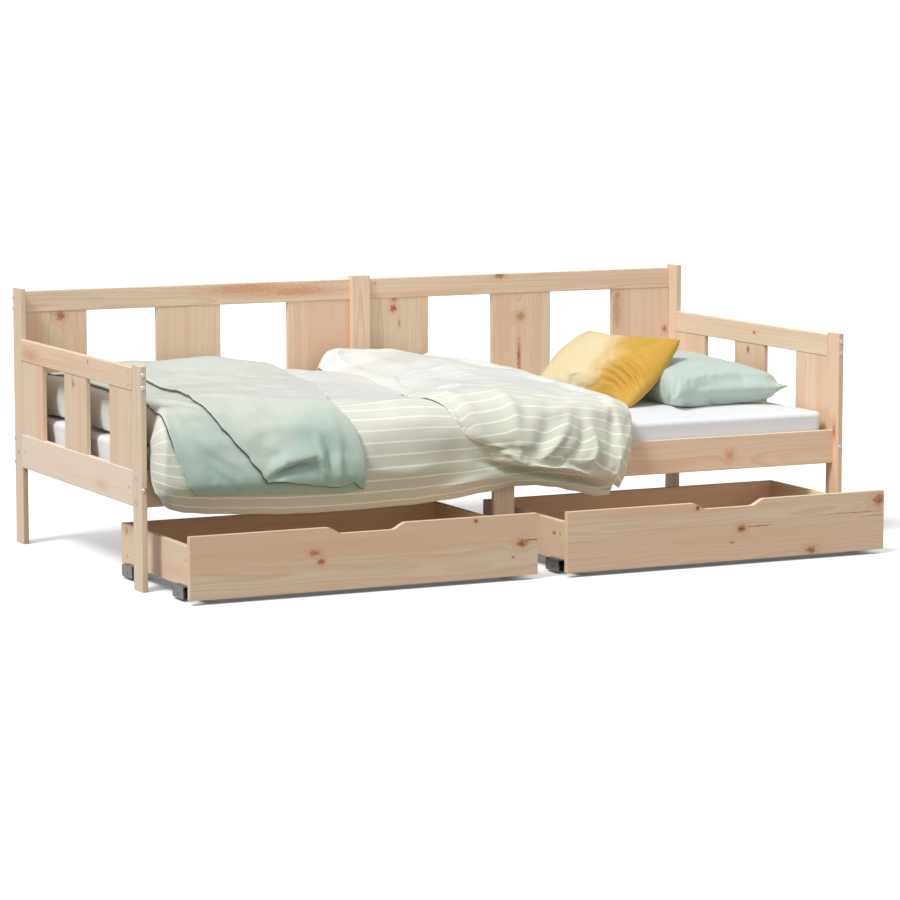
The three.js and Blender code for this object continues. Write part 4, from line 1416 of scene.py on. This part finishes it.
CUSHION_CREASES = [
    ([(-60, -35), (-62, -80), (-80, -120), (-108, -160)], 6, 11),
    ([(-84, -40), (-85, -82), (-101, -120), (-124, -155)], 5.5, 10),
    ([(-73, -45), (-74, -82), (-92, -122), (-116, -158)], 4.5, -13),
    ([(-108, -58), (-108, -95), (-121, -125), (-140, -152)], 6, 9),
    ([(-97, -55), (-97, -90), (-111, -122), (-132, -152)], 4.5, -11),
    ([(-34, -50), (-38, -90), (-58, -130), (-88, -165)], 6, 11),
    ([(-47, -50), (-50, -88), (-68, -125), (-96, -162)], 4.5, -13),
    ([(-8, -60), (-15, -100), (-35, -140), (-66, -172)], 7, 9),
    ([(-21, -60), (-27, -98), (-47, -138), (-76, -170)], 4.5, -9),
    ([(20, -70), (14, -110), (-8, -150)], 7, 6),
    ([(-87, 70), (-112, 52), (-145, 26)], 5, -12),
    ([(-92, 50), (-118, 34), (-148, 8)], 6, 9),
    ([(-96, 92), (-120, 74), (-150, 56)], 6, 8),
    ([(110, 130), (80, 100), (50, 85)], 9, 5),
    ([(120, -140), (90, -110), (50, -95)], 8, -7),
]


def case_surface(size, seed, bow, fullness):
    """A pillow's case, which pulls in between its corners. Its two ends may bow out."""
    width, length, thickness = size

    def surface(across, along, side):
        u, v = 2 * across - 1, 2 * along - 1
        crown = ((1 - u * u) * (1 - v * v)) ** fullness[0 if side > 0 else 1]
        x = width / 2 * u * (1 - CASE_SIDES_IN * (1 - v * v))
        y = length / 2 * v * (1 - CASE_ENDS_IN * (1 - u * u))
        y += (1 - u * u) * v * abs(v) * bow[0 if v < 0 else 1]
        half = CASE_CROWN * thickness + swell(x, y, [(CASE_SWELL_SIZE, CASE_SWELL, seed + side)])
        return Vector((x, y, side * crown * half)), (x, 0.0)

    return surface


def extent(piece):
    """The lowest and the highest corner of a piece's own mesh."""
    spots = [vert.co for vert in piece.data.vertices]
    return [Vector([pick(spot[axis] for spot in spots) for axis in range(3)]) for pick in (min, max)]


def stuffed(
    node, material, size, spot, turns, creases,
    seed, step, fullness, bow=(0.0, 0.0),
):
    """A pillow round a spot, turned by degrees. It flattens on the mattress where it rests there."""
    width, length, thickness = size
    surface = case_surface(size, seed, bow, fullness)
    bm = filled_sheet(round(width / step), round(length / step), surface, pull=0.2)
    piece = show(node + "_filled", bm, material, "bed", [node])
    low, high = extent(piece)
    low.z, high.z = -thickness / 2, thickness / 2
    press_with_air(piece, pressure=6.0, frames=22, reach=CASE_REACH, shrink=0.04, bending=0.2)
    blown_low, blown_high = extent(piece)
    lean = Euler([math.radians(angle) for angle in turns], "XYZ").to_matrix()
    for vert in piece.data.vertices:
        x, y, z = (
            low[axis] + (vert.co[axis] - blown_low[axis])
            * (high[axis] - low[axis]) / (blown_high[axis] - blown_low[axis])
            for axis in range(3)
        )
        if z > 0:
            z += creased(x, y, creases) * min(1, z / thickness / CASE_CREASES_FROM)
        vert.co = spot + lean @ Vector((x, y, z))
        vert.co.z = max(vert.co.z, TOP_Z)
    refine(piece)


# Camera, light and floor, fitted to the photograph's view

CAMERA_SPOT = Vector((-4.1925, -9.2200, 1.4652))
CAMERA_TURN = math.radians(25.9185)
CAMERA_TILT = math.radians(7.1304)
CAMERA_LENS = 142.712
CAMERA_SENSOR = 36
CAMERA_END = 100


def add_camera():
    data = bpy.data.cameras.new("camera")
    data.lens = CAMERA_LENS
    data.sensor_width = CAMERA_SENSOR
    data.clip_end = CAMERA_END
    camera = bpy.data.objects.new("camera", data)
    camera.location = CAMERA_SPOT
    camera.rotation_euler = (WHOLE_TURN / 4 - CAMERA_TILT, 0, -CAMERA_TURN)
    scene.collection.objects.link(camera)
    scene.camera = camera


KEY_STRENGTH = 2.75
KEY_FROM = Vector((-0.56, -0.22, 0.8))
KEY_SOFTNESS = math.radians(18)
FILL_STRENGTH = 0.4
FILL_FROM = Vector((0.15, -0.9, 0.4))
FILL_SOFTNESS = math.radians(80)
SKY_STRENGTH = 0.45


def add_sun(name, strength, softness, source):
    data = bpy.data.lights.new(name, "SUN")
    data.energy = strength
    data.angle = softness
    sun = bpy.data.objects.new(name, data)
    sun.rotation_euler = source.to_track_quat("Z", "Y").to_euler()
    scene.collection.objects.link(sun)


def add_light():
    add_sun("key", KEY_STRENGTH, KEY_SOFTNESS, KEY_FROM)
    add_sun("fill", FILL_STRENGTH, FILL_SOFTNESS, FILL_FROM)
    world = bpy.data.worlds.new("studio")
    world.use_nodes = True
    scene.world = world
    nodes = Nodes(world.node_tree)
    sky = world.node_tree.nodes["Background"]
    nodes.feed(sky.inputs["Color"], WHITE)
    nodes.feed(sky.inputs["Strength"], SKY_STRENGTH)
    nodes.swap("World Output", sky, nodes.add("ShaderNodeBackground", WHITE))


FLOOR_HALF = 30.0
FLOOR_GLOW = 0.46
FLOOR_MATT = colour(214, 214, 214)
FLOOR_BOUNCE = colour(110, 108, 105)
CONTACT_REACH = 60 * MM


def add_floor():
    """White where it is seen, with soft contact shadows, and duller as a source of bounced light."""
    finish = Finish("floor_white", roughness=1.0)
    matt = finish.add("ShaderNodeBsdfDiffuse", FLOOR_MATT)
    open_sky = finish.add("ShaderNodeAmbientOcclusion", None, CONTACT_REACH, samples=16)
    shine = Amount(finish, open_sky.outputs["AO"]).fade(0.1, 0.9) * FLOOR_GLOW
    glow = finish.add("ShaderNodeEmission", WHITE, shine)
    both = finish.add("ShaderNodeAddShader", matt.outputs[0], glow.outputs[0])
    plain = finish.add("ShaderNodeBsdfDiffuse", FLOOR_BOUNCE)
    finish.swap("Material Output", plain, both)
    bm = bmesh.new()
    bmesh.ops.create_grid(bm, x_segments=1, y_segments=1, size=FLOOR_HALF)
    floor = placed("floor", bm, finish.material)


# Making

scene.view_settings.view_transform = "Standard"
add_camera()
add_light()
add_floor()

zinc = steel("zinc_plate", colour(86, 86, 87), colour(122, 122, 123))
chrome = steel("bolt_chrome", colour(158, 157, 156), colour(200, 199, 198))
slots = {item["node"]: item["material_slot"] for item in frame["record"]["subparts"]}
for number, node in enumerate(sorted(slots)):
    if slots[node] == "pine":
        finish = pine(node, number)
    elif slots[node] == "steel":
        finish = zinc
    else:
        continue
    for socket in frame["nodes"][node].material_slots:
        socket.material = finish

add_frame_fittings(chrome, turned_wood())
add_wheels(moulded_grey())
add_drawer_fittings(zinc)

white_cover = plain_cotton("white_cover", colour(226, 228, 232), colour(236, 237, 240), crumple=0.1)
add_mattress(white_cover)

# The faces of the duvet and its turned-back part point in until the end, so air makes them settle
stripes = striped_cotton()
duvet = add_duvet(stripes)
press_with_air(duvet, pressure=4.0, frames=12, reach=6 * MM, shrink=0.015)
fold = add_fold(stripes, surface_over(duvet))
press_with_air(fold, pressure=4.0, frames=12, reach=6 * MM, shrink=0.02, held=seam_kept(fold))
press_in(duvet, HEM_GROOVE)
dark_piping = plain_cotton("dark_piping", colour(52, 66, 60), colour(66, 82, 74), crumple=0.2)
add_throw(quilted_cotton(), dark_piping, surface_over(duvet))
finish_case(duvet)
finish_case(fold)

mint_cotton = plain_cotton("mint_cotton", colour(174, 194, 184), colour(193, 208, 200), crumple=0.3)
stuffed(
    "pillow", mint_cotton, PILLOW_SIZE, PILLOW_SPOT, PILLOW_TURNS, PILLOW_CREASES,
    seed=20, step=7 * MM, fullness=(0.5, 0.42),
)
stuffed(
    "cushion", velvet(), CUSHION_SIZE, CUSHION_SPOT, CUSHION_TURNS, CUSHION_CREASES,
    seed=30, step=5 * MM, fullness=(0.4, 0.45), bow=CUSHION_BOW,
)
